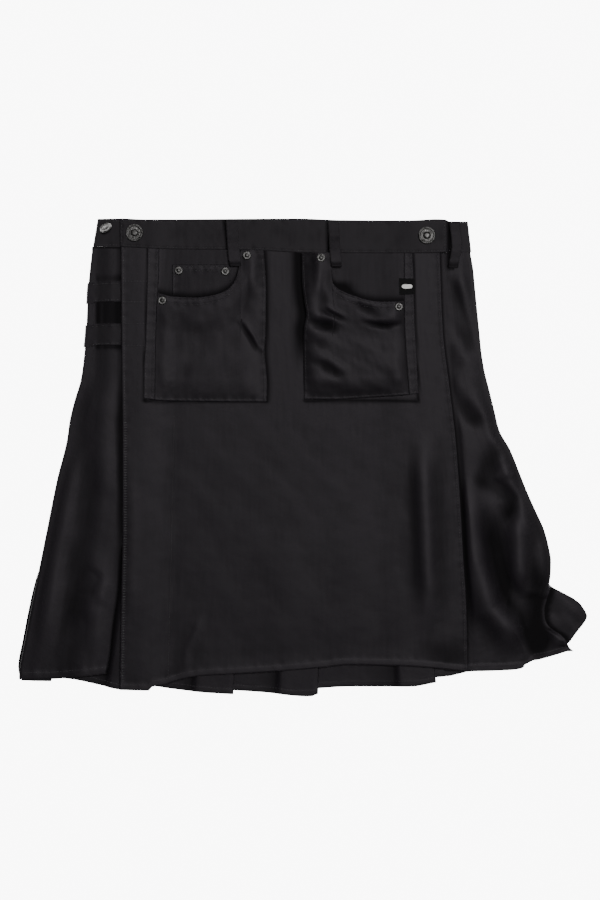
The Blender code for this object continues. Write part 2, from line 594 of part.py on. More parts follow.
def build_waistband(materials):
    """The apron's waistband, and the one that goes round the back and wraps both sides."""
    front_ends = (-208.6, 163.2)
    rows = []
    for part in even(3):
        row = []
        for share in even(29):
            x = front_ends[0] * (1 - share) + front_ends[1] * share
            top, bottom = float(curve_at(TOP_EDGE, x)), float(curve_at(WAIST_SEAM, x))
            row.append((x, top + part * (bottom - top), float(band_height(x))))
        rows.append(row)
    cloth_object("waistband_front", rows, BAND_CLOTH, materials["band"])
    left_top, left_bottom = -234.2, -239.6
    right_top, right_bottom = 187.6, 191.6
    radius = (BAND_WRAP_LEVEL - BAND_BACK_LEVEL) / 2
    reach = radius + BAND_CLOTH / 2
    left_end, right_end = -174.0, 139.0
    rows = []
    for part in even(3):
        left = left_top + part * (left_bottom - left_top) + reach
        right = right_top + part * (right_bottom - right_top) - reach
        section = [(x, BAND_WRAP_LEVEL) for x in np.linspace(left_end, left + 4, 4)]
        section += half_turn(left, BAND_WRAP_LEVEL, BAND_BACK_LEVEL, -1, 6)
        section += [(x, BAND_BACK_LEVEL) for x in np.linspace(left + 6, right - 6, 27)]
        section += half_turn(right, BAND_WRAP_LEVEL, BAND_BACK_LEVEL, 1, 6)[::-1]
        section += [(x, BAND_WRAP_LEVEL) for x in np.linspace(right - 4, right_end, 4)]
        row = []
        for x, z in section:
            top, bottom = float(curve_at(TOP_EDGE, x)), float(curve_at(WAIST_SEAM, x))
            row.append((x, top + part * (bottom - top), z))
        rows.append(row)
    cloth_object("waistband_back", rows, BAND_CLOTH, materials["band"])


def build_pockets(materials):
    """Each pocket: a side strip, a front with a scooped mouth, the facing behind it, and one coin pocket."""
    cloth = materials["cloth"]
    gap = SEAM / 2
    top = lowered(WAIST_SEAM, SEAM)
    strip_steps = even(3)
    points = panel_points(POCKET_LEFT_EDGE, moved(POCKET_LEFT_SEAM, -gap), top, POCKET_LEFT_BOTTOM,
                          strip_steps, even(10), facing_height)
    cloth_object("pocket_left_strip", points, CLOTH, cloth)
    points = panel_points(moved(POCKET_RIGHT_SEAM, gap), POCKET_RIGHT_STRIP_EDGE, top, POCKET_RIGHT_BOTTOM,
                          strip_steps, even(10), facing_height)
    cloth_object("pocket_right_strip", points, CLOTH, cloth)
    across = (0.0, 0.05, 0.12, 0.2, 0.28, 0.36, 0.44, 0.52, 0.6, 0.66, 0.695, 0.72, 0.742, 0.76, 0.78, 0.83,
              0.88, 0.94, 1.0)
    points = panel_points(moved(POCKET_LEFT_SEAM, gap), POCKET_LEFT_RIGHT_EDGE, POCKET_LEFT_MOUTH,
                          POCKET_LEFT_BOTTOM, across, even(16), pocket_left_height)
    cloth_object("pocket_left_body", points, CLOTH, cloth)
    across = (0.0, 0.06, 0.12, 0.18, 0.24, 0.272, 0.29, 0.31, 0.35, 0.4, 0.46, 0.52, 0.58, 0.64, 0.7, 0.76,
              0.82, 0.88, 0.94, 1.0)
    points = panel_points(POCKET_RIGHT_EDGE, moved(POCKET_RIGHT_SEAM, -gap), POCKET_RIGHT_MOUTH,
                          POCKET_RIGHT_BOTTOM, across, even(19), pocket_right_height)
    cloth_object("pocket_right_body", points, CLOTH, cloth)
    left = moved(POCKET_LEFT_SEAM, gap)
    right = ((170, -63.0), (237, -63.0))
    points = panel_points(left, right, top, POCKET_LEFT_FACING_END, even(9), even(4), facing_height)
    cloth_object("pocket_left_facing", points, CLOTH, cloth)
    left = ((160, 23.0), (233, 23.0))
    points = panel_points(left, moved(POCKET_RIGHT_SEAM, -gap), top, POCKET_RIGHT_FACING_END,
                          even(9), even(4), facing_height)
    cloth_object("pocket_right_facing", points, CLOTH, cloth)
    left, right = ((180, -149.0), (222, -149.0)), ((180, -82.6), (222, -82.6))
    points = panel_points(left, right, ((-150, 219.4), (-82, 219.4)),
                          lowered(POCKET_LEFT_MOUTH, -0.8), even(9), even(3), coin_height)
    cloth_object("pocket_left_coin", points, CLOTH, cloth)


def build_label(materials):
    """A small woven label over the seam between the right pocket's facing and its strip."""
    left, right = ((184, 109.4), (205, 109.0)), ((184, 127.2), (205, 126.6))
    top, bottom = ((108, 203.8), (128, 203.4)), ((108, 185.0), (128, 185.6))
    points = panel_points(left, right, top, bottom, even(5), even(4), coin_height)
    cloth_object("woven_label", points, CLOTH, materials["label"])


# A hip strap: its upper and lower edge beside the apron
Strap = namedtuple("Strap", "name top bottom")
STRAPS = (Strap("hip_strap_upper", 200.6, 177.0),
          Strap("hip_strap_lower", 152.6, 127.6))


def build_straps(materials):
    """Two straps over the left hip panel, round the left fold and back under it."""
    radius = FOLD_RADIUS * 2
    outer = radius + LAYER
    drop, slack, strap_return = 2.0, 0.15, 8.5
    for name, top, bottom in STRAPS:
        rows = []
        for part in even(4):
            row = []
            right = edge_x(APRON_LEFT, (top + bottom) / 2) - HALF - SEAT_GAP
            y_row = top + part * (bottom - top)
            left = edge_x(LEFT_OUTLINE, y_row - drop) + HALF + radius
            for share in even(9):
                x = left * (1 - share) + right * share
                y = y_row - drop * (1 - smooth_step(share, 0, 0.35))
                level = left_side_height(x, y) + LAYER + slack * smooth_step(share, 0, 0.3)
                row.append((x, y, float(level)))
            first = row[0]
            low = first[2] - 2 * outer
            fold = [(left + dx, first[1], z) for dx, z in half_turn(0.0, first[2], low, -1, 5)[1:]]
            fold.append((left + strap_return, first[1], low))
            rows.append(fold[::-1] + row)
        cloth_object(name, rows, CLOTH, materials["cloth"])


# A belt loop: its middle at the waistband's top edge, half way and at its foot, its
# width, and the surfaces that it crosses: the waistband, then the pocket or panel below
Loop = namedtuple("Loop", "name top_x middle_x foot_x foot_y width band below")
LOOPS = (Loop("belt_loop_left", -80.6, -79.4, -77.6, 219.5, 13.0, band_height, pocket_left_height),
         Loop("belt_loop_middle", 33.6, 35.4, 37.4, 217.6, 12.6, band_height, pocket_right_height),
         Loop("belt_loop_right", 171.4, 173.6, 170.0, 217.0, 11.4, wrap_height, right_side_height))


def build_loops(materials):
    """Each loop rises off the waistband's top edge, stands proud of it, and comes down below it."""
    proud, below_edge, beside = 2.3, 0.6, np.linspace(-8, 8, 9)
    leaves_band, reaches_foot = 0.55, 0.75
    for loop in LOOPS:
        middle = ((0.0, loop.top_x), (0.5, loop.middle_x), (1.0, loop.foot_x))
        top_y = float(curve_at(TOP_EDGE, loop.top_x)) - below_edge
        rows = []
        for part in even(9):
            y = top_y + part * (loop.foot_y - top_y)
            centre = float(curve_at(middle, part))
            band = float(loop.band(centre)) + BAND_CLOTH / 2
            foot = float(np.max(loop.below(centre + beside, np.full(9, y)))) + HALF
            seat = band + (foot - band) * float(smooth_step(part, leaves_band, reaches_foot))
            if part < reaches_foot:
                seat = max(seat, band)
            lift = proud * math.sin(math.pi * min(1.0, part * 1.04)) ** 0.6 if 0 < part < 0.96 else 0.0
            z = seat + SEAM + HALF + lift
            rows.append([(centre + loop.width * (share - 0.5), y, z) for share in even(3)])
        cloth_object(loop.name, rows, CLOTH, materials["band"])


def turned_object(name, profile, place, tilt, material, steps=20):
    """A turned piece: a profile of radius and height spun round its own axis."""
    mesh = bmesh.new()
    rings = []
    for radius, height in profile:
        if radius == 0:
            rings.append([mesh.verts.new((0, 0, height * MM))])
        else:
            ring = []
            for k in range(steps):
                angle = 2 * math.pi * k / steps
                point = Vector((radius * math.cos(angle), radius * math.sin(angle), height))
                ring.append(mesh.verts.new(point * MM))
            rings.append(ring)
    for lower, upper in zip(rings[:-1], rings[1:]):
        for k in range(steps):
            n = (k + 1) % steps
            if len(lower) == 1:
                mesh.faces.new((lower[0], upper[n], upper[k]))
            elif len(upper) == 1:
                mesh.faces.new((lower[k], lower[n], upper[0]))
            else:
                mesh.faces.new((lower[k], lower[n], upper[n], upper[k]))
    turn = Euler(tilt).to_matrix().to_4x4()
    mesh.transform(Matrix.Translation(Vector(place) * MM) @ turn)
    return add_object(name, mesh, material, 30)


BUTTON_PROFILE = ((0, 0), (6.4, 0), (6.8, 0.9), (9.4, 1.1), (9.7, 1.8), (9.2, 2.5), (8.2, 2.7), (7.4, 2.3),
                  (4.6, 2.5), (3.4, 3.0), (0, 3.2))
SHANK_PROFILE = ((0, 0), (2.6, 0), (2.6, 2.0), (6.6, 2.2), (7.2, 3.0), (6.8, 3.8), (5.8, 4.0), (4.0, 3.8),
                 (0, 4.3))
RIVET_PROFILE = ((0, 0), (4.7, 0), (4.9, 0.5), (4.4, 1.1), (3.4, 1.3), (2.6, 1.2), (1.8, 1.7), (0, 2.0))

Stud = namedtuple("Stud", "name x y seat")
RIVETS = (Stud("rivet_left_strip", -160.3, 178.4, pocket_left_height),
          Stud("rivet_coin_left", -141.6, 212.6, coin_height),
          Stud("rivet_coin_right", -88.6, 211.6, coin_height),
          Stud("rivet_left_mouth", -64.1, 229.6, pocket_left_height),
          Stud("rivet_right_mouth", 20.2, 226.6, pocket_right_height),
          Stud("rivet_right_strip", 108.6, 171.2, pocket_right_height))


# A button: its place, how far it stands over the waistband, and its tilt
Button = namedtuple("Button", "name profile x y seat proud tilt")
BUTTONS = (Button("button_left", BUTTON_PROFILE, -191.8, 255.4, band_height, 0.0, (0, 0, 0)),
           Button("button_right", BUTTON_PROFILE, 140.5, 252.5, band_height, 0.0, (0, 0, 0)),
           Button("button_hip", SHANK_PROFILE, -223.6, 259.8, wrap_height, 1.75,
                  (math.radians(-22), math.radians(-28), 0)))


def build_metal(materials):
    """Rivets seated on the highest cloth under them, and buttons on the waistband."""
    around = np.linspace(0, 2 * math.pi, 12, endpoint=False)
    reach = 5.2
    for stud in RIVETS:
        xs, ys = stud.x + reach * np.cos(around), stud.y + reach * np.sin(around)
        top = float(max(np.max(stud.seat(xs, ys)), stud.seat(stud.x, stud.y))) + HALF + SEAT_GAP
        turned_object(stud.name, RIVET_PROFILE, (stud.x, stud.y, top), (0, 0, 0), materials["metal"], 16)
    for button in BUTTONS:
        top = float(button.seat(button.x)) + BAND_CLOTH / 2 + SEAT_GAP + button.proud
        turned_object(button.name, button.profile, (button.x, button.y, top), button.tilt, materials["metal"])


def main():
    clear_scene()
    materials = {"cloth": make_material("black_twill", CLOTH_COLOUR, 0.62),
                 "band": make_material("black_twill_band", BAND_COLOUR, 0.62),
                 "label": make_material("label_weave", LABEL_COLOUR, 0.8),
                 "metal": make_material("silver_metal", METAL_COLOUR, 0.3, 1.0)}
    build_back(materials)
    build_left_side(materials)
    build_right_side(materials)
    build_apron(materials)
    build_waistband(materials)
    build_pockets(materials)
    build_label(materials)
    build_straps(materials)
    build_loops(materials)
    build_metal(materials)


main()
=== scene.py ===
"""A black utility kilt laid flat, front up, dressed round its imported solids.

Places are in millimetres over the table, as in the solids' own source: +X to the
right across the front, +Y towards the waist, +Z up. A mesh turns them into metres.
"""

import logging
import math
from dataclasses import dataclass, field
from enum import Enum
from typing import Callable, Sequence

import bmesh
import bpy
import numpy as np
from mathutils import Euler, Matrix, Vector


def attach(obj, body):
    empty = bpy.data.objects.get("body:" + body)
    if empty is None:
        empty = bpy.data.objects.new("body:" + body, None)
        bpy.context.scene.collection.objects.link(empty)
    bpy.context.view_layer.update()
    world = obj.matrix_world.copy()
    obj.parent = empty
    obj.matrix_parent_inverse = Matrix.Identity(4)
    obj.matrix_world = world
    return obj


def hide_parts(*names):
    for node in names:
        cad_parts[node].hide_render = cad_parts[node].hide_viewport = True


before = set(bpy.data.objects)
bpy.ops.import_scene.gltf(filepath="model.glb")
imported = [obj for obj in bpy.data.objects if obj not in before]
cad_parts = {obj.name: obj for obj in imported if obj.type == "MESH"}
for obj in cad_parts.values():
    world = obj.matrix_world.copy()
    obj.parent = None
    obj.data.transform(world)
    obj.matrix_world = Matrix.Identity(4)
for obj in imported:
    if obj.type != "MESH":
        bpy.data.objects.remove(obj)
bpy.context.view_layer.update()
LOG = logging.getLogger("kilt")

Array = np.ndarray
Rows = tuple[tuple[float, float], ...]
HeightMap = Callable[[Array, Array], Array]

MM = 0.001
CLOTH = 0.9
BAND_CLOTH = 1.9
WALL = 1.0
SEAM_GAP = 0.35
LAYER = WALL + SEAM_GAP
FOLD_RADIUS = LAYER / 2
TABLE_LAYER = WALL / 2
OVER_PLEATS = TABLE_LAYER + 3 * LAYER
SIDE_EDGE_LEVEL = OVER_PLEATS + LAYER
APRON_EDGE_LEVEL = SIDE_EDGE_LEVEL + LAYER
BAND_BACK_LEVEL = 1.0
BAND_WRAP_LEVEL = 4.4
BAND_FRONT_LEVEL = BAND_WRAP_LEVEL + 2.0 + SEAM_GAP
BAND_FRONT_SAG = 4.5
APRON_SLACK = 0.4
LEFT_RETURN = 24.0
LEFT_STEP_STARTS, LEFT_STEP_ENDS = 26.0, 47.0
PIXEL = 1.14


def smooth_step(value: Array | float, low: float, high: float) -> Array:
    """Returns 0 below low, 1 above high, and a smooth rise between."""
    t = np.clip((np.asarray(value, float) - low) / (high - low), 0.0, 1.0)
    return t * t * (3 - 2 * t)


def bell(distance: Array | float, width: float) -> Array:
    """Returns a soft bump of height 1, narrower for a smaller width."""
    return np.exp(-(np.asarray(distance, float) / width) ** 2)


def unit(vectors: Array) -> Array:
    """Returns the vectors at length 1."""
    return vectors / np.linalg.norm(vectors, axis=-1, keepdims=True)


@dataclass(frozen=True)
class Edge:
    """A smooth line through rows of (place along it, place across it)."""

    rows: Rows

    def at(self, place: Array | float) -> Array:
        """Reads the line without overshooting its rows.

        Args:
            place: Where along the line to read it.

        Returns:
            The line's place across at each of them.
        """
        rows = sorted(self.rows)
        xs = np.array([row[0] for row in rows], float)
        ys = np.array([row[1] for row in rows], float)
        gaps = np.diff(xs)
        slopes = np.diff(ys) / gaps
        bends = np.zeros_like(xs)
        bends[0], bends[-1] = slopes[0], slopes[-1]
        for i in range(1, len(xs) - 1):
            if slopes[i - 1] * slopes[i] > 0:
                first, second = 2 * gaps[i] + gaps[i - 1], gaps[i] + 2 * gaps[i - 1]
                bends[i] = (first + second) / (first / slopes[i - 1] + second / slopes[i])
        at = np.clip(np.asarray(place, float), xs[0], xs[-1])
        k = np.clip(np.searchsorted(xs, at) - 1, 0, len(gaps) - 1)
        t = (at - xs[k]) / gaps[k]
        rise = (2 * t ** 3 - 3 * t ** 2 + 1) * ys[k] + (t ** 3 - 2 * t ** 2 + t) * gaps[k] * bends[k]
        return rise + (3 * t ** 2 - 2 * t ** 3) * ys[k + 1] + (t ** 3 - t ** 2) * gaps[k] * bends[k + 1]

    def moved(self, by: float) -> "Edge":
        """Returns the same line moved across."""
        return Edge(tuple((place, across + by) for place, across in self.rows))


@dataclass(frozen=True)
class Crease:
    """A ridge (height above 0) or trough (below 0) along a path, with a lip on its left side."""

    path: Rows
    width: float
    height: float
    lip: float = 0.0
    ends: float = 0.3

    def height_at(self, x: Array, y: Array) -> Array:
        """Returns the height that the crease adds at each point."""
        path = np.array(self.path, float)
        spans = np.linalg.norm(np.diff(path, axis=0), axis=1)
        best, along, side = np.full(np.shape(x), 1e9), np.zeros(np.shape(x)), np.zeros(np.shape(x))
        start = 0.0
        for (ax, ay), (bx, by), span in zip(path[:-1], path[1:], spans):
            dx, dy = (bx - ax) / span, (by - ay) / span
            run = np.clip((x - ax) * dx + (y - ay) * dy, 0, span)
            off_x, off_y = x - ax - run * dx, y - ay - run * dy
            gap = np.hypot(off_x, off_y)
            nearer = gap < best
            best = np.where(nearer, gap, best)
            along = np.where(nearer, (start + run) / spans.sum(), along)
            side = np.where(nearer, np.sign(dx * off_y - dy * off_x), side)
            start += span
        fade = smooth_step(along, 0, self.ends) * smooth_step(1 - along, 0, self.ends)
        lip = self.lip * bell(side * best - 1.7 * self.width, 1.1 * self.width)
        return (self.height * bell(best, self.width) + lip) * fade


def relief(x: Array, y: Array, creases: Sequence[Crease]) -> Array:
    """Returns the sum of several creases' heights."""
    return sum((crease.height_at(x, y) for crease in creases), np.zeros(np.shape(x)))


def floor_at(height: Array, lowest: Array | float) -> Array:
    """Returns the height held above its lowest value, with a soft corner."""
    corner = 0.8
    over = np.clip(height - lowest, 0.0, None)
    return lowest + over * over / (over + corner)


def crumple(x: Array, y: Array, size: float, seed: float = 0.0) -> Array:
    """Soft unevenness of pressed twill: a few crossing waves that bend one another.

    Args:
        x: Places across, in millimetres.
        y: Places along.
        size: About the height of the waves, in millimetres.
        seed: Shifts the pattern, so that no two pieces share it.

    Returns:
        The height to add at each place.
    """
    bent_x = x + 9 * np.sin(y / 47 + seed) + 5 * np.sin(y / 23 + 2 * seed)
    bent_y = y + 11 * np.sin(x / 53 + 1.7 * seed) + 4 * np.sin(x / 19 - seed)
    waves = ((61, 0.5, 0.9), (43, -0.9, 0.55), (29, 0.2, 0.35), (21, 1.3, 0.22), (13, 0.7, 0.12), (9, -0.4, 0.07))
    total = np.zeros(np.shape(x))
    for k, (length, turn, share) in enumerate(waves):
        direction = bent_x * math.cos(turn + seed) + bent_y * math.sin(turn + seed)
        total = total + share * np.sin(2 * math.pi * direction / length + k * 1.9 + seed * 3)
    return size * total / 1.6


# Outlines of the pieces: a row gives the place along the edge, then the place across it
LEFT_OUTLINE = Edge(((-241, -323.5), (-208, -317.2), (-162, -308.1), (-117, -299.0), (-71, -289.8), (-26, -280.7),
                     (20, -269.3), (43, -265.9), (66, -260.2), (88, -253.6), (109, -250.5), (145, -247.3),
                     (191, -245.2), (214, -243.1), (234, -240.8)))
LEFT_INNER_EDGE = Edge(((-245, -223.7), (-226, -220.3), (-186, -215.7), (-152, -210.5), (-112, -207.8),
                        (-72, -200.9), (8, -192.9), (128, -190.7), (239, -190.7)))
LEFT_HEM = Edge(((-327, -251.5), (-320, -252.6), (-289, -252.2), (-254, -249.6), (-223, -246.2)))
RIGHT_OUTLINE = Edge(((-220.6, 308.1), (-216, 303.4), (-210, 300.2), (-202.5, 294.0), (-197.5, 286.5),
                      (-190.5, 278.6), (-183, 275.6), (-173.5, 275.0), (-162, 277.6), (-149, 281.6), (-134, 282.9),
                      (-117, 283.2), (-105, 281.3), (-83, 275.6), (-60, 265.3), (-37, 255.1), (-14, 246.0),
                      (8.5, 236.8), (31, 224.3), (54, 218.6), (77, 212.9), (100, 207.2), (122, 203.8),
                      (145, 201.5), (191, 196.9), (214, 194.7), (234, 191.2)))
RIGHT_HEM = Edge(((168, -242.8), (189, -243.4), (236, -242.2), (255, -239.6), (258.6, -233.6), (275.6, -229.7),
                  (292.7, -225.1), (308.1, -220.6)))
APRON_LEFT = Edge(((-264.5, -208.9), (-163, -207.2), (-83, -205.6), (8, -205.6), (128, -206.8), (240, -207.6)))
APRON_RIGHT = Edge(((-246, 187.2), (-180, 186.0), (-110.6, 182.1), (-31, 177.6), (27, 173.0), (84, 166.2),
                    (142, 159.3), (234, 155.5)))
APRON_HEM = Edge(((-209, -264.3), (-176, -265.2), (-172, -261), (-160, -258.8), (-136, -251.5), (-117, -248.4),
                  (-72, -245.8), (-30, -243.2), (20, -239.0), (53, -235.6), (76, -236.0), (110, -236.8),
                  (145, -239.0), (187, -243.6)))
WAIST_SEAM = Edge(((-240, 240.0), (-209, 239.4), (-160, 237.2), (-60, 235.9), (10, 232.8), (124, 232.4),
                   (165, 233.0), (192, 233.6)))
UNDER_WAIST_SEAM = WAIST_SEAM.moved(-0.08)
TOP_EDGE = Edge(((-234, 271.6), (-209, 272.0), (-179, 270.9), (-118, 271.3), (-4, 272.0), (42, 270.3),
                 (122, 269.8), (152, 271.2), (162, 270.6), (166, 268.8), (188, 268.5)))
LOW_LEFT_EDGE = Edge(((-254, -321.0), (-240, -325.2), (-208, -319.7), (-162, -310.6), (-140, -305.2),
                      (-117, -297.5), (-71, -287), (-5, -268), (60, -243), (170, -227), (234, -224)))
LOW_SEAM = Edge(((-255, 186), (234, 140)))
LOW_RIGHT_EDGE: Rows = ((-180, 323.6), (-175, 321.6), (-166, 315.5), (-160, 307.5), (-152.2, 292.7),
                        (-147.6, 283.6), (-141, 277.5), (-117, 276), (-83, 270), (-37, 249), (8.5, 231),
                        (54, 212), (122, 197), (191, 190), (234, 185))
FLAP_HEM: Rows = ((187, -244.3), (224, -241.6), (250, -237.6), (262, -231.4), (275, -227.2), (290, -221), (300, -213.4),
                  (304, -210), (311, -200), (319, -190), (322.8, -184.4), (323.6, -180))


@dataclass(frozen=True)
class Pleat:
    """A knife pleat: its folded edge and its depth, at the waist and at the hem."""

    waist: float
    hem: float
    waist_depth: float
    hem_depth: float

    def x_at(self, y: Array | float, depth_share: float = 0.0) -> Array:
        """Returns the place of the folded edge, or of a place some share of the depth behind it."""
        t = (233.0 - np.asarray(y, float)) / (233.0 + 254.0)
        folded = self.waist + (self.hem - self.waist) * t
        depth = self.waist_depth + (self.hem_depth - self.waist_depth) * t
        return folded - depth * depth_share


PLEATS = (Pleat(-165, -287.6, 20, 15), Pleat(-120, -177.0, 28, 38), Pleat(-45, -79.2, 28, 38),
          Pleat(35, 16.8, 28, 38), Pleat(112, 150.6, 26, 36))
PLEAT_HEMS = (Edge(((-326, -253.0), (-320, -254.2), (-287, -254.8))),
              Edge(((-320, -247), (-285, -250.3), (-261, -253.1), (-234, -258.8), (-207, -264.5), (-177, -265.3))),
              Edge(((-215, -257), (-175, -259.9), (-152, -263.3), (-111, -267.9), (-79, -269.8))),
              Edge(((-118, -263), (-75.5, -265.6), (-42.5, -267.9), (-3.7, -271.9), (7.7, -272.3), (17, -269.0))),
              Edge(((-22, -266), (19, -263.0), (53, -261.1), (122, -261.1), (150, -256.4))),
              Edge(((110, -255), (152.5, -250.6), (179, -247.2), (187, -244.3), (230, -241.4))))

APRON_CREASES = (
    Crease(((-196, 20), (-194, -90), (-197, -210)), 9, 1.1),
    Crease(((133, 42), (139, -90), (141, -150), (138, -215)), 13, 4.2),
    Crease(((123, 60), (121, -50), (125, -120), (136, -175), (158, -222)), 13, -1.4),
    Crease(((152, -180), (170, -222), (176, -240)), 16, -1.4),
    Crease(((-120, -168), (-131, -197), (-142, -220), (-143, -250)), 5, -1.3, 0.8),
    Crease(((-20, -60), (-12, -150), (-18, -240)), 30, 1.2),
    Crease(((60, -40), (66, -140), (60, -236)), 34, 1.2))
LEFT_SIDE_CREASES = (
    Crease(((-262, 20), (-286, -110), (-297, -245)), 14, 2.1),
    Crease(((-232, -126), (-250, -160)), 12, -1.2, 1.0),
    Crease(((-250, -170), (-262, -215), (-262, -245)), 18, -1.0),
    Crease(((-226, -100), (-236, -190), (-238, -244)), 16, 1.0),
    Crease(((-224, 100), (-232, 20), (-226, -60)), 16, 1.6))
RIGHT_SIDE_CREASES = (
    Crease(((156, 206), (167, 186), (180, 158), (191, 132), (200, 108)), 12, -2.8, 1.4, 0.2),
    Crease(((160, 132), (171, 112), (182, 96)), 9, -0.8, 0.5),
    Crease(((160, 80), (174, 68), (190, 46), (207, 38), (224, 33)), 9, -1.6, 1.2, 0.45),
    Crease(((203, 58), (217, 30), (227, 8)), 10, 1.6),
    Crease(((222, 22), (213, -3), (208, -26), (224, -37), (236, -48), (231, -72), (230, -92)), 10, -2.7, 1.3),
    Crease(((238, 0), (242, -24)), 12, 2.6),
    Crease(((243, -58), (246, -110), (244, -158)), 12, 4.6),
    Crease(((186, -20), (191, -80), (196, -120), (212, -173), (231, -193), (253, -226)), 16, 5.6, 0.0, 0.2),
    Crease(((212, -50), (221, -115), (238, -162), (257, -194)), 12, -3.0),
    Crease(((264, -150), (263, -190), (270, -224)), 14, -5.0),
    Crease(((275, -86), (281, -116), (281, -142)), 8, 3.2),
    Crease(((284, -180), (288, -194), (302, -214)), 13, 4.0))
POCKET_LEFT_CREASES = (
    Crease(((-82, 157), (-70, 150), (-61, 137), (-54, 124), (-41, 115)), 2.6, -1.3, 0.9, 0.5),
    Crease(((-143, 149), (-129, 151), (-112, 157), (-97, 162)), 9, 0.6, 0.0, 0.5),
    Crease(((-144, 113), (-135, 97), (-127, 84)), 9, -0.4, 0.2, 0.5))
POCKET_RIGHT_CREASES = (
    Crease(((0, 161), (13, 152), (30, 149), (42, 141)), 6, -3.0, 1.2, 0.4),
    Crease(((17, 172), (30, 164), (52, 153)), 2.8, -1.5, 0.8, 0.5),
    Crease(((52, 175), (70, 168), (88, 159)), 5, -1.1, 0.6, 0.5),
    Crease(((78, 161), (96, 160), (114, 160)), 6, 1.2, 0.0, 0.5),
    Crease(((60, 155), (78, 151), (96, 149.5), (118, 152)), 3.2, -1.7, 0.7, 0.5),
    Crease(((3, 112), (25, 103), (36, 95), (56, 83)), 6, -2.0, 0.9, 0.5),
    Crease(((12, 80), (56, 79)), 8, -0.9, 0.0, 0.5),
    Crease(((84, 87), (112, 91)), 8, -0.7, 0.0, 0.5),
    Crease(((16, 136), (22, 118)), 7, -0.7, 0.0, 0.5),
    Crease(((8, 215), (7, 170), (12, 130)), 12, 1.2))
POCKET_LEFT_EDGE = Edge(((64, -181.4), (97, -181.4), (128, -179.8), (190, -177.8), (237, -177.0)))
POCKET_LEFT_SEAM = Edge(((64, -168.6), (128, -167.6), (168, -166.4), (210, -164.2), (237, -163.8)))
POCKET_LEFT_RIGHT_EDGE = Edge(((64, -42.0), (84, -41.3), (122, -44.0), (140, -43.0), (191, -42.4), (237, -45.0)))
POCKET_LEFT_BOTTOM = Edge(((-182, 67.0), (-160, 64.6), (-42, 63.0)))
POCKET_LEFT_MOUTH = Edge(((-165, 187.0), (-149.6, 183.4), (-123.4, 182.0), (-100.6, 185.2), (-85.8, 191.5),
                          (-79, 199.0), (-74.6, 209.8), (-72.4, 222.0), (-71.6, 235.5), (-60, 236)))
POCKET_LEFT_FACING_END = Edge(((-164, 178), (-123, 174), (-98, 177), (-82, 184), (-71, 196), (-63.5, 212)))
POCKET_RIGHT_EDGE = Edge(((66, 0.9), (111, 0.1), (145, 0.6), (162, 3.6), (179, 0.9), (202, -1.4), (233, -2.0)))
POCKET_RIGHT_SEAM = Edge(((70, 120.4), (82, 119.2), (105, 117.6), (128, 115.8), (156, 114.6), (233, 114.3)))
POCKET_RIGHT_STRIP_EDGE = Edge(((72, 131.0), (99, 129.8), (122, 128.4), (168, 126.3), (207, 125.6), (233, 124.0)))
POCKET_RIGHT_BOTTOM = Edge(((0, 66.4), (30, 66.0), (76, 68.2), (116, 71.0), (132, 73.0)))
POCKET_RIGHT_MOUTH = Edge(((20, 232.6), (31.4, 232.4), (32.2, 204), (36.2, 195), (47.6, 187.6), (59, 183.4),
                           (76, 178.6), (88, 177.2), (104, 177.2), (115, 178.4)))
POCKET_RIGHT_FACING_END = Edge(((23, 206), (30, 190), (44, 179), (70, 171), (88, 169.5), (114, 170.6)))


def apron_height(x: Array, y: Array) -> Array:
    """Returns the middle of the apron's cloth: high over the side panels, low between them."""
    left = (APRON_EDGE_LEVEL - OVER_PLEATS) * (1 - smooth_step(x, -186, -140))
    right = LAYER * smooth_step(x, 85, 124)
    lowest = OVER_PLEATS + left + right
    return floor_at(lowest + APRON_SLACK + relief(x, y, APRON_CREASES), lowest)


def left_side_height(x: Array, y: Array) -> Array:
    """Returns the middle of the left hip panel's upper layer: high over its return, low over the pleats."""
    edge, outline = LEFT_INNER_EDGE.at(y), LEFT_OUTLINE.at(y)
    drop = smooth_step(edge - x, LEFT_STEP_STARTS, LEFT_STEP_ENDS)
    level = OVER_PLEATS * drop + SIDE_EDGE_LEVEL * (1 - drop)
    away = smooth_step(x - outline, 4, 22) * smooth_step(edge - x, 3, 22)
    return level + away * np.maximum(relief(x, y, LEFT_SIDE_CREASES), -0.1)


def right_side_height(x: Array, y: Array) -> Array:
    """Returns the middle of the right hip panel's upper layer."""
    away = smooth_step(RIGHT_OUTLINE.at(y) - x, 2, 20)
    puff = 1.2 * smooth_step(x, 160, 185) * smooth_step(y, -250, -100)
    free_edge = smooth_step(-y, 140, 165)
    clear = smooth_step(x - APRON_RIGHT.at(y), 1.0, 8)
    shaped = (puff + relief(x, y, RIGHT_SIDE_CREASES)) * (away + (1 - away) * free_edge)
    return floor_at(OVER_PLEATS + shaped * clear, 3.3 + 1.5 * (1 - smooth_step(x, 150, 175)))


def pocket_puff(x: Array, y: Array, left: float, right: float, bottom: float, height: float) -> Array:
    """Returns how far a pocket stands off the apron away from its sewn edges."""
    return height * smooth_step(x - left, 0, 26) * smooth_step(right - x, 0, 26) * smooth_step(y - bottom, 0, 26)


def mouth_lift(x: Array, y: Array, facing_end: Edge, side: Array) -> Array:
    """Returns the lift of a pocket's front over the facing behind its mouth; side runs off the facing."""
    fade, overlap, shadow = 34.0, 2.0, 0.9
    return (LAYER + shadow) * side * smooth_step(y - facing_end.at(x), -fade, -overlap)


def facing_height(x: Array, y: Array) -> Array:
    """Returns the middle of the layer that lies on the apron."""
    return apron_height(x, y) + LAYER


def coin_height(x: Array, y: Array) -> Array:
    """Returns the middle of the layer that lies on the pocket's facing."""
    return facing_height(x, y) + LAYER


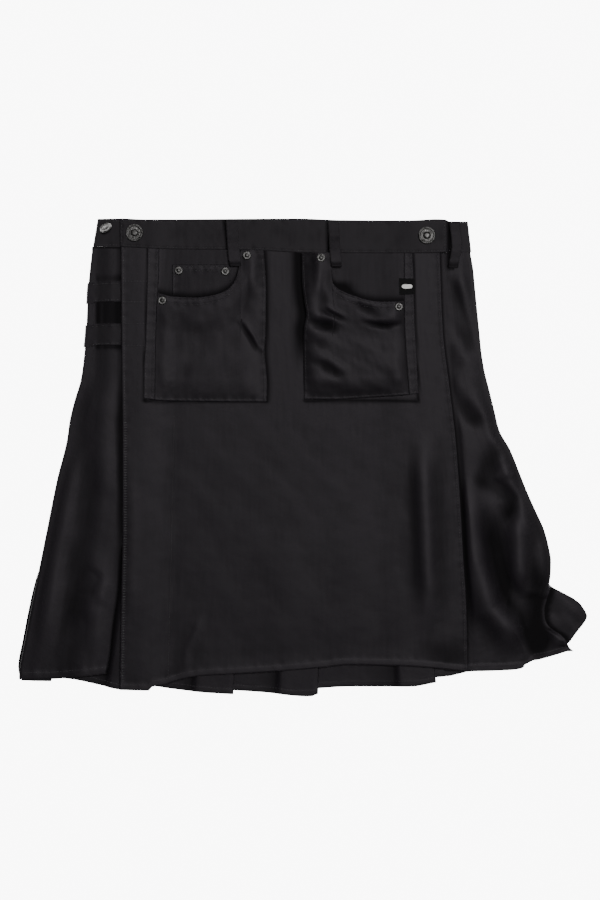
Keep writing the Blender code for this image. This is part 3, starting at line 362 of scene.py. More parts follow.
def pocket_left_height(x: Array, y: Array) -> Array:
    """Returns the middle of the left pocket's front."""
    lift = mouth_lift(x, y, POCKET_LEFT_FACING_END, smooth_step(-x, 48, 60))
    puff = pocket_puff(x, y, -181, -42, 64, 1.6) + 2.2 * smooth_step(x, -70, -46) * smooth_step(y, 110, 190)
    return facing_height(x, y) + lift + np.maximum(puff + relief(x, y, POCKET_LEFT_CREASES), 0.0)


def pocket_right_height(x: Array, y: Array) -> Array:
    """Returns the middle of the right pocket's front, which stands off the apron on its left side."""
    lift = mouth_lift(x, y, POCKET_RIGHT_FACING_END, smooth_step(x, 8, 20) * smooth_step(119 - x, 0, 3))
    stand = 4.2 * (1 - smooth_step(x, 4, 44)) * smooth_step(y, 100, 160)
    puff = pocket_puff(x, y, -6, 128, 66, 3.4) + stand
    return facing_height(x, y) + lift + np.maximum(puff + relief(x, y, POCKET_RIGHT_CREASES), 0.0)


def band_height(x: Array, y: Array | None = None) -> Array:
    """Returns the middle of the front waistband: high over the ends of the back waistband."""
    ends = 1 - smooth_step(x, -172, -130) * (1 - smooth_step(x, 92, 134))
    return BAND_FRONT_SAG + (BAND_FRONT_LEVEL - BAND_FRONT_SAG) * ends


class Slot(Enum):
    """The record's material slots."""

    CLOTH = "black_twill"
    BAND = "band_twill"
    METAL = "silver_metal"
    LABEL = "label_weave"


class NodeCanvas:
    """Short way to lay out the nodes of one material."""

    def __init__(self, name: str) -> None:
        """Makes an empty material with one Principled shader."""
        self.material = bpy.data.materials.new(name)
        self.material.use_nodes = True
        self.tree = self.material.node_tree
        self.shader = self.tree.nodes["Principled BSDF"]

    def add(self, kind: str, values: dict[str, object] | None = None, **settings: object) -> bpy.types.Node:
        """Adds a node.

        Args:
            kind: The node's type, such as ShaderNodeTexNoise.
            values: Constants or output sockets for its inputs, by name or index.
            **settings: Attributes of the node.

        Returns:
            The node.
        """
        node = self.tree.nodes.new(kind)
        for key, value in settings.items():
            setattr(node, key, value)
        for key, value in (values or {}).items():
            socket = node.inputs[key]
            if isinstance(value, bpy.types.NodeSocket):
                self.tree.links.new(value, socket)
            else:
                socket.default_value = value
        return node

    def maths(self, operation: str, first: object, second: object = 0.0) -> bpy.types.NodeSocket:
        """Returns the result of a Math node on two values or sockets."""
        return self.add("ShaderNodeMath", {0: first, 1: second}, operation=operation).outputs[0]

    def ramp(self, factor: bpy.types.NodeSocket, stops: Sequence[tuple[float, tuple]]) -> bpy.types.NodeSocket:
        """Returns a colour read from stops of (place, colour)."""
        node = self.add("ShaderNodeValToRGB", {0: factor})
        elements = node.color_ramp.elements
        while len(elements) < len(stops):
            elements.new(0.5)
        for element, (place, colour) in zip(elements, stops):
            element.position = place
            element.color = (*colour, 1.0)
        return node.outputs[0]

    def connect(self, socket: bpy.types.NodeSocket, name: str) -> None:
        """Links a socket to one of the shader's inputs."""
        self.tree.links.new(socket, self.shader.inputs[name])

    def constants(self, **values: object) -> None:
        """Sets the shader's own sockets; an underscore in a name stands for a space."""
        for name, value in values.items():
            self.shader.inputs[name.replace("_", " ")].default_value = value


@dataclass(frozen=True)
class TwillFinish:
    """Black satin twill with a soft gloss, with painted shade in its folds and painted highlight on its ridges and
    edges.
    """

    name: str
    # Painted shade colour: the darkest tone, painted into folds and where other pieces cover or shade the cloth.
    painted_shade_colour: tuple[float, float, float] = (0.0014, 0.0013, 0.0015)
    plain: tuple[float, float, float] = (0.0055, 0.0046, 0.0060)
    # Painted highlight colour, painted onto ridges and edges.
    painted_highlight: tuple[float, float, float] = (0.0125, 0.0108, 0.0131)
    roughness: float = 0.5
    matt: float = 0.3
    gloss: float = 0.13
    twill_pitch: float = 0.00062
    slub_depth: float = 0.00010

    def material(self) -> bpy.types.Material:
        """Returns the finished material; the weave follows the piece's own UV map, in metres."""
        canvas = NodeCanvas(self.name)
        uv = canvas.add("ShaderNodeUVMap", uv_map="cloth").outputs[0]
        place = canvas.add("ShaderNodeTexCoord").outputs["Object"]
        # Reads the piece's painted shade and highlight.
        wear_and_painted_shade = canvas.add("ShaderNodeAttribute", attribute_name="painted_highlight").outputs["Fac"]
        cloudy = canvas.add("ShaderNodeTexNoise", {"Vector": place, "Scale": 14.0, "Detail": 5.0, "Roughness": 0.6})
        streak_map = canvas.add("ShaderNodeMapping", {"Vector": uv, "Scale": (260.0, 26.0, 1.0)})
        streaks = canvas.add("ShaderNodeTexNoise", {"Vector": streak_map.outputs[0], "Scale": 1.0, "Detail": 3.0})
        uneven = canvas.maths("ADD", canvas.maths("MULTIPLY", cloudy.outputs[0], 0.10),
                              canvas.maths("MULTIPLY", streaks.outputs[0], 0.14))
        shade = canvas.maths("ADD", wear_and_painted_shade, canvas.maths("SUBTRACT", uneven, 0.12))
        # Base colour runs from painted shade through the cloth's own black to painted highlight, with random unevenness
        # of tone.
        canvas.connect(canvas.ramp(shade, ((0.05, self.painted_shade_colour), (0.5, self.plain), (0.95, self.painted_highlight))), "Base Color")
        # Rougher, and so duller, where the painted shade is deepest.
        rough = canvas.add("ShaderNodeMapRange", {0: shade, 1: 0.05, 2: 0.5, 3: self.roughness + self.matt,
                                                  4: self.roughness})
        canvas.connect(rough.outputs[0], "Roughness")
        canvas.constants(Sheen_Weight=0.015, Sheen_Roughness=0.4, Sheen_Tint=(0.9, 0.85, 0.92, 1.0),
                         Specular_IOR_Level=self.gloss, Specular_Tint=(1.0, 0.93, 1.0, 1.0))
        turned = canvas.add("ShaderNodeMapping", {"Vector": uv, "Rotation": (0.0, 0.0, math.radians(62))})
        twill = canvas.add("ShaderNodeTexWave", {"Vector": turned.outputs[0], "Scale": 0.314 / self.twill_pitch / 2.0,
                                                 "Distortion": 0.6, "Detail": 1.0, "Detail Scale": 2.0},
                           wave_type="BANDS", bands_direction="X")
        weave = canvas.add("ShaderNodeBump", {"Height": twill.outputs["Fac"], "Strength": 0.22,
                                              "Distance": self.slub_depth})
        slubs = canvas.add("ShaderNodeBump", {"Height": streaks.outputs[0], "Normal": weave.outputs[0],
                                              "Strength": 0.35, "Distance": self.slub_depth})
        soft = canvas.add("ShaderNodeTexNoise", {"Vector": place, "Scale": 95.0, "Detail": 3.0})
        folds = canvas.add("ShaderNodeBump", {"Height": soft.outputs[0], "Normal": slubs.outputs[0],
                                              "Strength": 0.35, "Distance": 0.0006})
        canvas.connect(folds.outputs[0], "Normal")
        return canvas.material


@dataclass(frozen=True)
class ThreadFinish:
    """Black polyester thread, a little shinier than the cloth."""

    name: str = "black_thread"
    colour: tuple[float, float, float] = (0.0330, 0.0315, 0.0340)

    def material(self) -> bpy.types.Material:
        """Returns the finished material, with its fibres as fine noise."""
        canvas = NodeCanvas(self.name)
        place = canvas.add("ShaderNodeTexCoord").outputs["Object"]
        fibres = canvas.add("ShaderNodeTexNoise", {"Vector": place, "Scale": 900.0, "Detail": 2.0})
        lighter = tuple(value * 1.5 for value in self.colour)
        canvas.connect(canvas.ramp(fibres.outputs[0], ((0.35, self.colour), (0.65, lighter))), "Base Color")
        canvas.constants(Roughness=0.5, Specular_IOR_Level=0.25)
        bump = canvas.add("ShaderNodeBump", {"Height": fibres.outputs[0], "Strength": 0.4, "Distance": 0.00008})
        canvas.connect(bump.outputs[0], "Normal")
        return canvas.material


@dataclass(frozen=True)
class NickelFinish:
    """Nickel plate with a brushed face, a little rubbed by use."""

    name: str = "nickel_plate"
    bright: tuple[float, float, float] = (0.078, 0.076, 0.075)
    wear_and_painted_shade: tuple[float, float, float] = (0.013, 0.0125, 0.012)

    def material(self) -> bpy.types.Material:
        """Returns the finished material, darker in its grain and in patches."""
        canvas = NodeCanvas(self.name)
        place = canvas.add("ShaderNodeTexCoord").outputs["Object"]
        patches = canvas.add("ShaderNodeTexNoise", {"Vector": place, "Scale": 420.0, "Detail": 6.0, "Roughness": 0.65})
        canvas.connect(canvas.ramp(patches.outputs[0], ((0.36, self.wear_and_painted_shade), (0.60, self.bright))), "Base Color")
        rough = canvas.add("ShaderNodeMapRange", {0: patches.outputs[0], 3: 0.5, 4: 0.38})
        canvas.connect(rough.outputs[0], "Roughness")
        canvas.constants(Metallic=1.0)
        bump = canvas.add("ShaderNodeBump", {"Height": patches.outputs[0], "Strength": 0.15, "Distance": 0.00008})
        canvas.connect(bump.outputs[0], "Normal")
        return canvas.material


@dataclass(frozen=True)
class LabelFinish:
    """Black damask label with a plain pale bar woven into it; the bar follows the label's UV map."""

    name: str = "damask_label"
    ground: tuple[float, float, float] = (0.0035, 0.0034, 0.0037)
    bar: tuple[float, float, float] = (0.78, 0.77, 0.74)

    def material(self) -> bpy.types.Material:
        """Returns the finished material; the bar is an ellipse-ended band across the label's middle."""
        canvas = NodeCanvas(self.name)
        uv = canvas.add("ShaderNodeUVMap", uv_map="share").outputs[0]
        parts = canvas.add("ShaderNodeSeparateXYZ", {0: uv})
        across = canvas.maths("ABSOLUTE", canvas.maths("SUBTRACT", parts.outputs[0], 0.5))
        along = canvas.maths("ABSOLUTE", canvas.maths("SUBTRACT", parts.outputs[1], 0.5))
        past = canvas.maths("MAXIMUM", canvas.maths("SUBTRACT", across, 0.17), 0.0)
        reach = canvas.maths("SQRT", canvas.maths("ADD", canvas.maths("POWER", canvas.maths("MULTIPLY", past, 1.0), 2.0),
                                                  canvas.maths("POWER", canvas.maths("MULTIPLY", along, 1.3), 2.0)))
        inside = canvas.maths("LESS_THAN", reach, 0.17)
        canvas.connect(canvas.ramp(inside, ((0.0, self.ground), (1.0, self.bar))), "Base Color")
        rows = canvas.add("ShaderNodeTexWave", {"Vector": uv, "Scale": 9.0}, wave_type="BANDS", bands_direction="Y")
        bump = canvas.add("ShaderNodeBump", {"Height": rows.outputs["Fac"], "Strength": 0.4, "Distance": 0.0001})
        canvas.connect(bump.outputs[0], "Normal")
        canvas.constants(Roughness=0.75, Sheen_Weight=0.02, Specular_IOR_Level=0.12)
        return canvas.material


@dataclass(frozen=True)
class TableFinish:
    """The plain white light table that the kilt lies on."""

    name: str = "white_table"
    colour: tuple[float, float, float, float] = (0.9, 0.9, 0.9, 1.0)
    glow: float = 8.5

    def material(self) -> bpy.types.Material:
        """Returns the finished material."""
        canvas = NodeCanvas(self.name)
        canvas.constants(Base_Color=self.colour, Roughness=0.9, Specular_IOR_Level=0.1,
                         Emission_Color=(1.0, 1.0, 1.0, 1.0), Emission_Strength=self.glow)
        return canvas.material


@dataclass
class Workroom:
    """The finishes that the pieces share."""

    cloth: bpy.types.Material = field(default_factory=lambda: TwillFinish("black_twill_cloth").material())
    band: bpy.types.Material = field(default_factory=lambda: TwillFinish(
        "black_twill_pressed", plain=(0.0070, 0.0062, 0.0073), roughness=0.54, gloss=0.12).material())
    thread: bpy.types.Material = field(default_factory=lambda: ThreadFinish().material())
    nickel: bpy.types.Material = field(default_factory=lambda: NickelFinish().material())
    label: bpy.types.Material = field(default_factory=lambda: LabelFinish().material())
    table: bpy.types.Material = field(default_factory=lambda: TableFinish().material())


def steps_round(grid: Array, axis: int) -> tuple[Array, Array]:
    """Returns the unit steps to each point from the one before it, and on to the one after it."""
    steps = unit(np.diff(grid, axis=axis))
    first, last = np.take(steps, [0], axis=axis), np.take(steps, [-1], axis=axis)
    return np.concatenate([first, steps], axis=axis), np.concatenate([steps, last], axis=axis)


def wall_normals(grid: Array) -> tuple[Array, Array]:
    """Returns the direction out of the cloth at each point, and how much a fold shortens it there."""
    before_row, after_row = steps_round(grid, 0)
    before, after = steps_round(grid, 1)
    down = before_row + after_row
    mean = (unit(np.cross(down, before)) + unit(np.cross(down, after))) / 2
    return unit(mean), np.linalg.norm(mean, axis=2, keepdims=True)


def blurred(values: Array, reach: float, spacing: float, axis: int) -> Array:
    """Returns the values averaged along an axis over a reach, twice, so that the edges of the window are soft."""
    half = max(1, min(int(round(reach / spacing)), values.shape[axis] // 2 - 1))
    for _ in range(2):
        padded = np.concatenate([np.take(values, [0] * half, axis=axis), values,
                                 np.take(values, [-1] * half, axis=axis)], axis=axis)
        sums = np.cumsum(np.insert(padded, 0, 0.0, axis=axis), axis=axis)
        count = values.shape[axis]
        upper = np.take(sums, np.arange(2 * half + 1, 2 * half + 1 + count), axis=axis)
        values = (upper - np.take(sums, np.arange(count), axis=axis)) / (2 * half + 1)
    return values


def painted_fold_light(grid: Array, shade_share: Array, reach: float = 7.0, depth: float = 1.6) -> Array:
    """Measures the painted shade and highlight of the black cloth: painted highlight on ridges and edges, painted shade
    in folds.

    Args:
        grid: The middle of the cloth, in millimetres.
        shade_share: Share of painted shade where other pieces cover or shade the cloth, 0 to 1.
        reach: Width of the neighbourhood that a ridge or trough stands out from.
        depth: Height over the neighbourhood that gives the full painted highlight.

    Returns:
        A value for each point, from 0 for full painted shade to 1 for full painted highlight.
    """
    rows, columns = grid.shape[:2]
    across = np.linalg.norm(grid[:, -1] - grid[:, 0], axis=1).mean() / columns
    down = np.linalg.norm(grid[-1] - grid[0], axis=1).mean() / rows
    level = blurred(blurred(grid[..., 2], reach, max(across, 0.5), 1), reach, max(down, 0.5), 0)
    return np.clip(0.5 + (grid[..., 2] - level) / (2 * depth) - 0.5 * shade_share, 0.0, 1.0)


def cloth_mesh(name: str, middle: Array, thickness: float, raised: Array | None = None,
               shade_share: Array | None = None) -> bpy.types.Object:
    """Builds a thin closed shell round a grid of middle points.

    Args:
        name: The object's name.
        middle: Rows towards the hem, columns to the right, then x, y and z in millimetres.
        thickness: The cloth's thickness, in millimetres.
        raised: Extra thickness on the outer side, for hems, seams and stitch grooves.
        shade_share: Share of painted shade on the cloth.

    Returns:
        The new object, smooth, with UV maps "cloth" (metres) and "share" (0 to 1), and "painted_highlight" at its
        points, holding its painted shade and highlight.
    """
    grid = np.array(middle, float)
    rows, columns = grid.shape[:2]
    extra = np.zeros((rows, columns)) if raised is None else raised
    normal, shortened = wall_normals(grid)
    scale = normal / np.maximum(shortened, 0.7)
    outer = grid + scale * (thickness / 2 + extra)[..., None]
    inner = grid - scale * (thickness / 2)
    points = np.concatenate([outer.reshape(-1, 3), inner.reshape(-1, 3)]) * MM
    i, j = np.meshgrid(np.arange(rows - 1), np.arange(columns - 1), indexing="ij")
    a = (i * columns + j).ravel()
    quads = np.column_stack([a, a + columns, a + columns + 1, a + 1])
    size = rows * columns
    under = np.column_stack([a, a + 1, a + columns + 1, a + columns]) + size
    rim = [j for j in range(columns)] + [i * columns + columns - 1 for i in range(1, rows)]
    rim += [(rows - 1) * columns + j for j in range(columns - 2, -1, -1)]
    rim += [i * columns for i in range(rows - 2, 0, -1)]
    rim_array = np.array(rim)
    following = np.roll(rim_array, -1)
    sides = np.column_stack([rim_array, following, following + size, rim_array + size])
    faces = np.concatenate([quads, under, sides])
    data = bpy.data.meshes.new(name)
    data.from_pydata(points.tolist(), [], faces.tolist())
    across = np.concatenate([[0.0], np.cumsum(np.linalg.norm(np.diff(grid[rows // 2], axis=0), axis=1))])
    down = np.concatenate([[0.0], np.cumsum(np.linalg.norm(np.diff(grid[:, columns // 2], axis=0), axis=1))])
    u, v = np.meshgrid(across * MM, -down * MM)
    metres = np.tile(np.column_stack([u.ravel(), v.ravel()]), (2, 1))
    shares = np.column_stack([(metres[:, 0] / metres[:, 0].max()), 1 + metres[:, 1] / abs(metres[:, 1].min())])
    corners = np.zeros(len(data.loops), dtype=np.int64)
    data.loops.foreach_get("vertex_index", corners)
    for map_name, values in (("cloth", metres), ("share", shares)):
        layer = data.uv_layers.new(name=map_name)
        layer.data.foreach_set("uv", values[corners].ravel())
    # Painted shade in folds and where other pieces cover or shade the cloth, painted highlight on ridges and edges.
    painted_highlight = painted_fold_light(grid + normal * extra[..., None], np.zeros((rows, columns)) if shade_share is None else shade_share)
    data.attributes.new("painted_highlight", "FLOAT", "POINT").data.foreach_set("value", np.tile(painted_highlight.ravel(), 2))
    data.shade_smooth()
    data.set_sharp_from_angle(angle=math.radians(50))
    made = bpy.data.objects.new(name, data)
    bpy.context.scene.collection.objects.link(made)
    return made


@dataclass
class SewnPiece:
    """One piece of cloth: its solid's node, its finish and what it lies on."""

    node: str
    material: bpy.types.Material
    slot: Slot
    rests_on: tuple[str, ...] = ()
    thickness: float = CLOTH

    def painted_shade(self, x: Array, y: Array) -> Array:
        """Returns the share of painted shade where other pieces cover or shade the cloth; below 0 it paints a lighter
        tone.
        """
        return np.zeros(np.shape(x))

    def finish(self, middle: Array, raised: Array | None = None, held: str = "laid") -> bpy.types.Object:
        """Makes the shell and puts it in its solid's place.

        Args:
            middle: The grid of the cloth's middle, in millimetres.
            raised: Extra thickness on its outer side.
            held: How the cloth is held; not used.

        Returns:
            The finished piece.
        """
        # Painted shade and lighter tone that the piece sets by place.
        shade_share = self.painted_shade(middle[..., 0], middle[..., 1])
        piece = cloth_mesh(f"{self.node}_cloth", middle, self.thickness, raised, shade_share)
        piece.data.materials.append(self.material)
        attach(piece, "root")
        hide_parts(self.node)
        return piece


def spread(length: float, step: float, fine: Sequence[float] = (0.0, 0.35, 0.9, 1.7, 2.6, 3.5, 4.6, 6.0),
           both: bool = True) -> list[float]:
    """Shares of a length, close together near its ends.

    Args:
        length: The length to share out, in millimetres.
        step: The spacing away from the ends.
        fine: Distances from an end that get a point of their own.
        both: Whether the start is fine as well as the end.

    Returns:
        The shares, from 0 to 1.
    """
    start = list(fine) if both else [0.0]
    count = max(2, int(round((length - start[-1] - fine[-1]) / step)))
    middle = list(np.linspace(start[-1], length - fine[-1], count + 1)[1:-1])
    places = start + middle + [length - value for value in reversed(fine)]
    return [place / length for place in places]


def even(count: int, start: float = 0.0, end: float = 1.0) -> list[float]:
    """Returns evenly spaced values."""
    return list(np.linspace(start, end, count))


def edge_crossing(left: Edge, right: Edge, ends: Edge, shares: Array) -> Array:
    """Returns where lines that run down a panel meet its top or bottom edge."""
    rows = sorted(ends.rows)
    y = np.full(np.shape(shares), 0.5 * (rows[0][1] + rows[-1][1]))
    for _ in range(14):
        x = left.at(y) * (1 - shares) + right.at(y) * shares
        y = 0.5 * y + 0.5 * ends.at(x)
    return y


def panel_plan(left: Edge, right: Edge, top: Edge, bottom: Edge, across: Sequence[float],
               down: Sequence[float]) -> tuple[Array, Array]:
    """Lays a grid over a panel between two side edges and a top and a bottom edge.

    Args:
        left: The left edge, x by y.
        right: The right edge, x by y.
        top: The top edge, y by x.
        bottom: The bottom edge, y by x.
        across: Shares of the way from left to right.
        down: Shares of the way from top to bottom.

    Returns:
        The grid's x and y, in millimetres.
    """
    shares = np.array(across)
    upper, lower = edge_crossing(left, right, top, shares), edge_crossing(left, right, bottom, shares)
    part = np.array(down)[:, None]
    y = upper[None] * (1 - part) + lower[None] * part
    x = left.at(y) * (1 - shares[None]) + right.at(y) * shares[None]
    return x, y


def stitched(distance: Array, along: Array, lines: Sequence[float], turned: float = 0.3) -> Array:
    """Extra thickness beside a turned and stitched edge.

    Args:
        distance: Distance from the edge, in millimetres.
        along: Place along the edge, for the puckers.
        lines: Distances of the stitch lines from the edge.
        turned: Thickness that the turned-in cloth adds as far as the last line.

    Returns:
        The height to add.
    """
    last = lines[-1]
    total = turned * (1 - smooth_step(distance, last, last + 1.6)) - 0.30 * bell(distance, 0.45)
    for line in lines:
        pucker = 0.55 + 0.45 * np.sin(2 * math.pi * along / 6.3 + line)
        total = total - 0.30 * pucker * bell(distance - line, 0.75)
    ripple = 0.10 * np.sin(2 * math.pi * along / 11.0) + 0.07 * np.sin(2 * math.pi * along / 17.0 + 1.0)
    return total + ripple * bell(distance - last, 4.0)


@dataclass
class Sewing:
    """A run of stitches laid over a surface; all runs of one sewing share a mesh."""

    name: str
    material: bpy.types.Material
    slot: Slot = Slot.CLOTH
    radius: float = 0.24
    length: float = 2.6
    gap: float = 0.75
    verts: list = field(default_factory=list)
    faces: list = field(default_factory=list)

    def run(self, path: Sequence[tuple[float, float]], surface: HeightMap, above: float, stout: float = 1.0) -> None:
        """Sews along a path.

        Args:
            path: Points of the path, x and y in millimetres.
            surface: The height of the middle of the cloth.
            above: How far the thread lies above that middle.
            stout: How many times thicker than plain topstitching the thread is.
        """
        points = np.array(path, float)
        spans = np.linalg.norm(np.diff(points, axis=0), axis=1)
        walk = np.concatenate([[0.0], np.cumsum(spans)])
        count = int(walk[-1] // (self.length + self.gap))
        pitch = walk[-1] / max(count, 1)
        starts = np.arange(count) * pitch + 0.5 * self.gap
        marks = starts[:, None] + np.linspace(0, self.length * pitch / (self.length + self.gap), 3)[None]
        x, y = np.interp(marks, walk, points[:, 0]), np.interp(marks, walk, points[:, 1])
        z = surface(x, y) + above + np.array([-0.22, 0.06, -0.22])[None]
        for k in range(count):
            self.stitch(np.column_stack([x[k], y[k], z[k]]), self.radius * stout)

    def stitch(self, spine: Array, radius: float) -> None:
        """Adds one stitch round three points, tapered at both ends."""
        forward = unit((spine[-1] - spine[0])[None])[0]
        side = unit(np.cross(forward, [0.0, 0.0, 1.0])[None])[0]
        up = np.cross(side, forward)
        start = len(self.verts)
        for centre, share in zip(spine, (0.55, 1.0, 0.55)):
            for angle in (0.0, 0.5 * math.pi, math.pi, 1.5 * math.pi):
                self.verts.append(centre + radius * share * (side * math.cos(angle) + up * math.sin(angle)))
        self.verts += [spine[0] - forward * 0.15, spine[-1] + forward * 0.15]
        first, last = start + 12, start + 13
        for ring in (0, 4):
            for k in range(4):
                n = (k + 1) % 4
                self.faces.append((start + ring + k, start + ring + 4 + k, start + ring + 4 + n, start + ring + n))
        for k in range(4):
            n = (k + 1) % 4
            self.faces.append((first, start + k, start + n))
            self.faces.append((last, start + 8 + n, start + 8 + k))

    def finish(self) -> bpy.types.Object:
        """Returns all the stitches as one piece."""
        data = bpy.data.meshes.new(self.name)
        data.from_pydata([tuple(v * MM) for v in self.verts], [], self.faces)
        work = bmesh.new()
        work.from_mesh(data)
        bmesh.ops.recalc_face_normals(work, faces=work.faces)
        work.to_mesh(data)
        work.free()
        data.shade_smooth()
        data.materials.append(self.material)
        made = bpy.data.objects.new(self.name, data)
        bpy.context.scene.collection.objects.link(made)
        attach(made, "root")
        LOG.info("%s: %d stitches", self.name, len(self.verts) // 14)
        return made


def down_line(edge: Edge, inset: float, top: float, bottom: float, count: int = 40) -> list[tuple[float, float]]:
    """Returns a path beside a side edge, from y = top to y = bottom."""
    ys = np.linspace(top, bottom, count)
    return [(float(x) + inset, float(y)) for x, y in zip(edge.at(ys), ys)]


def cross_line(edge: Edge, inset: float, left: float, right: float, count: int = 60) -> list[tuple[float, float]]:
    """Returns a path beside a top or bottom edge, from x = left to x = right."""
    xs = np.linspace(left, right, count)
    return [(float(x), float(y) + inset) for x, y in zip(xs, edge.at(xs))]


def half_turn(top: float, bottom: float, facing: int, steps: int) -> list[tuple[float, float]]:
    """Returns the section of a fold between two levels, bulging to the right (1) or left (-1)."""
    radius, middle = (top - bottom) / 2, (top + bottom) / 2
    angles = [math.pi * i / steps for i in range(steps + 1)]
    return [(facing * radius * math.sin(a), middle + radius * math.cos(a)) for a in angles]


@dataclass
class Apron(SewnPiece):
    """The front apron: a flat panel with stitched side edges and a turned hem."""

    tick_top: float = 40.0
    tick_pitch: float = 3.0
    tick_length: float = 5.0
    tick_stout: float = 1.9
    side_line: float = 3.0
    hem_line: float = 6.5
    step: float = 3.0

    def height(self, x: Array, y: Array) -> Array:
        """Returns the middle of the apron with its soft unevenness."""
        pockets = smooth_step(60 - y, 0, 30)
        lifted = 1.6 * smooth_step(APRON_HEM.at(x) + 26 - y, 0, 26) * smooth_step(x, -160, -120)
        return apron_height(x, y) + crumple(x, y, 0.16, 0.4) * pockets + 0.2 + lifted * 0.5

    def painted_shade(self, x: Array, y: Array) -> Array:
        """Returns painted shadows beside and under the pockets' edges, in the gap that the right pocket leaves and at
        the lower right, and a paler tone along the turned hem.
        """
        beside = 0.8 * bell(x - POCKET_LEFT_EDGE.at(y), 1.6) + 0.9 * bell(x - POCKET_LEFT_RIGHT_EDGE.at(y), 3.0)
        beside += 0.8 * bell(x - POCKET_RIGHT_STRIP_EDGE.at(y), 1.6)
        gap = bell(np.minimum(POCKET_RIGHT_EDGE.at(y) - x, 0) + np.maximum(POCKET_RIGHT_EDGE.at(y) - 3 - x, 0), 7.0)
        beside += 1.1 * gap * smooth_step(y, 95, 150)
        under = 0.8 * bell(y - 64.5, 2.0) * (smooth_step(x, -184, -180) * smooth_step(-x, 40, 44)
                                             + smooth_step(x, -2, 2) * smooth_step(-x, -132, -128))
        turned = 0.45 * (1 - smooth_step(y - APRON_HEM.at(x), self.hem_line - 1, self.hem_line))
        corner = 0.45 * bell((x - 163) / 24.0, 1.0) * bell((y + 224) / 17.0, 1.0)
        return np.clip(beside * smooth_step(y, 60, 66) + under + corner, 0.0, 1.2) - turned

    def build(self) -> bpy.types.Object:
        """Returns the apron's cloth."""
        across, down = spread(390, self.step), spread(495, self.step)
        x, y = panel_plan(APRON_LEFT, APRON_RIGHT, UNDER_WAIST_SEAM, APRON_HEM, across, down)
        raised = stitched(x - APRON_LEFT.at(y), y, (self.side_line,))
        raised += stitched(APRON_RIGHT.at(y) - x, y, (self.side_line,))
        raised += stitched(y - APRON_HEM.at(x), x, (self.hem_line,), 0.45)
        return self.finish(np.dstack([x, y, self.height(x, y)]), raised)

    def sew(self, sewing: Sewing) -> None:
        """Sews the apron's side edges, hem and the two straps' boxes."""
        above = self.thickness / 2 + 0.28
        sewing.run(down_line(APRON_LEFT, self.side_line, 236, -258), self.height, above)
        sewing.run(down_line(APRON_RIGHT, -self.side_line, 230, -238), self.height, above)
        sewing.run(cross_line(APRON_HEM, self.hem_line, -205, 184, 120), self.height, above)
        sewing.run([(-147.0, 48.0), (-150.0, -100.0), (-154.0, -254.0)], self.height, above)
        for y in np.arange(self.tick_top, -256.0, -self.tick_pitch):
            edge = float(APRON_LEFT.at(y)) + 0.9
            sewing.run([(edge, float(y)), (edge + self.tick_length, float(y))], self.height, above, self.tick_stout)
        for top, bottom in ((200.6, 177.0), (152.6, 127.6)):
            box = [(-204, top), (-177.5, top), (-177.5, bottom), (-204, bottom)]
            sewing.run(box, self.height, above - 0.25)


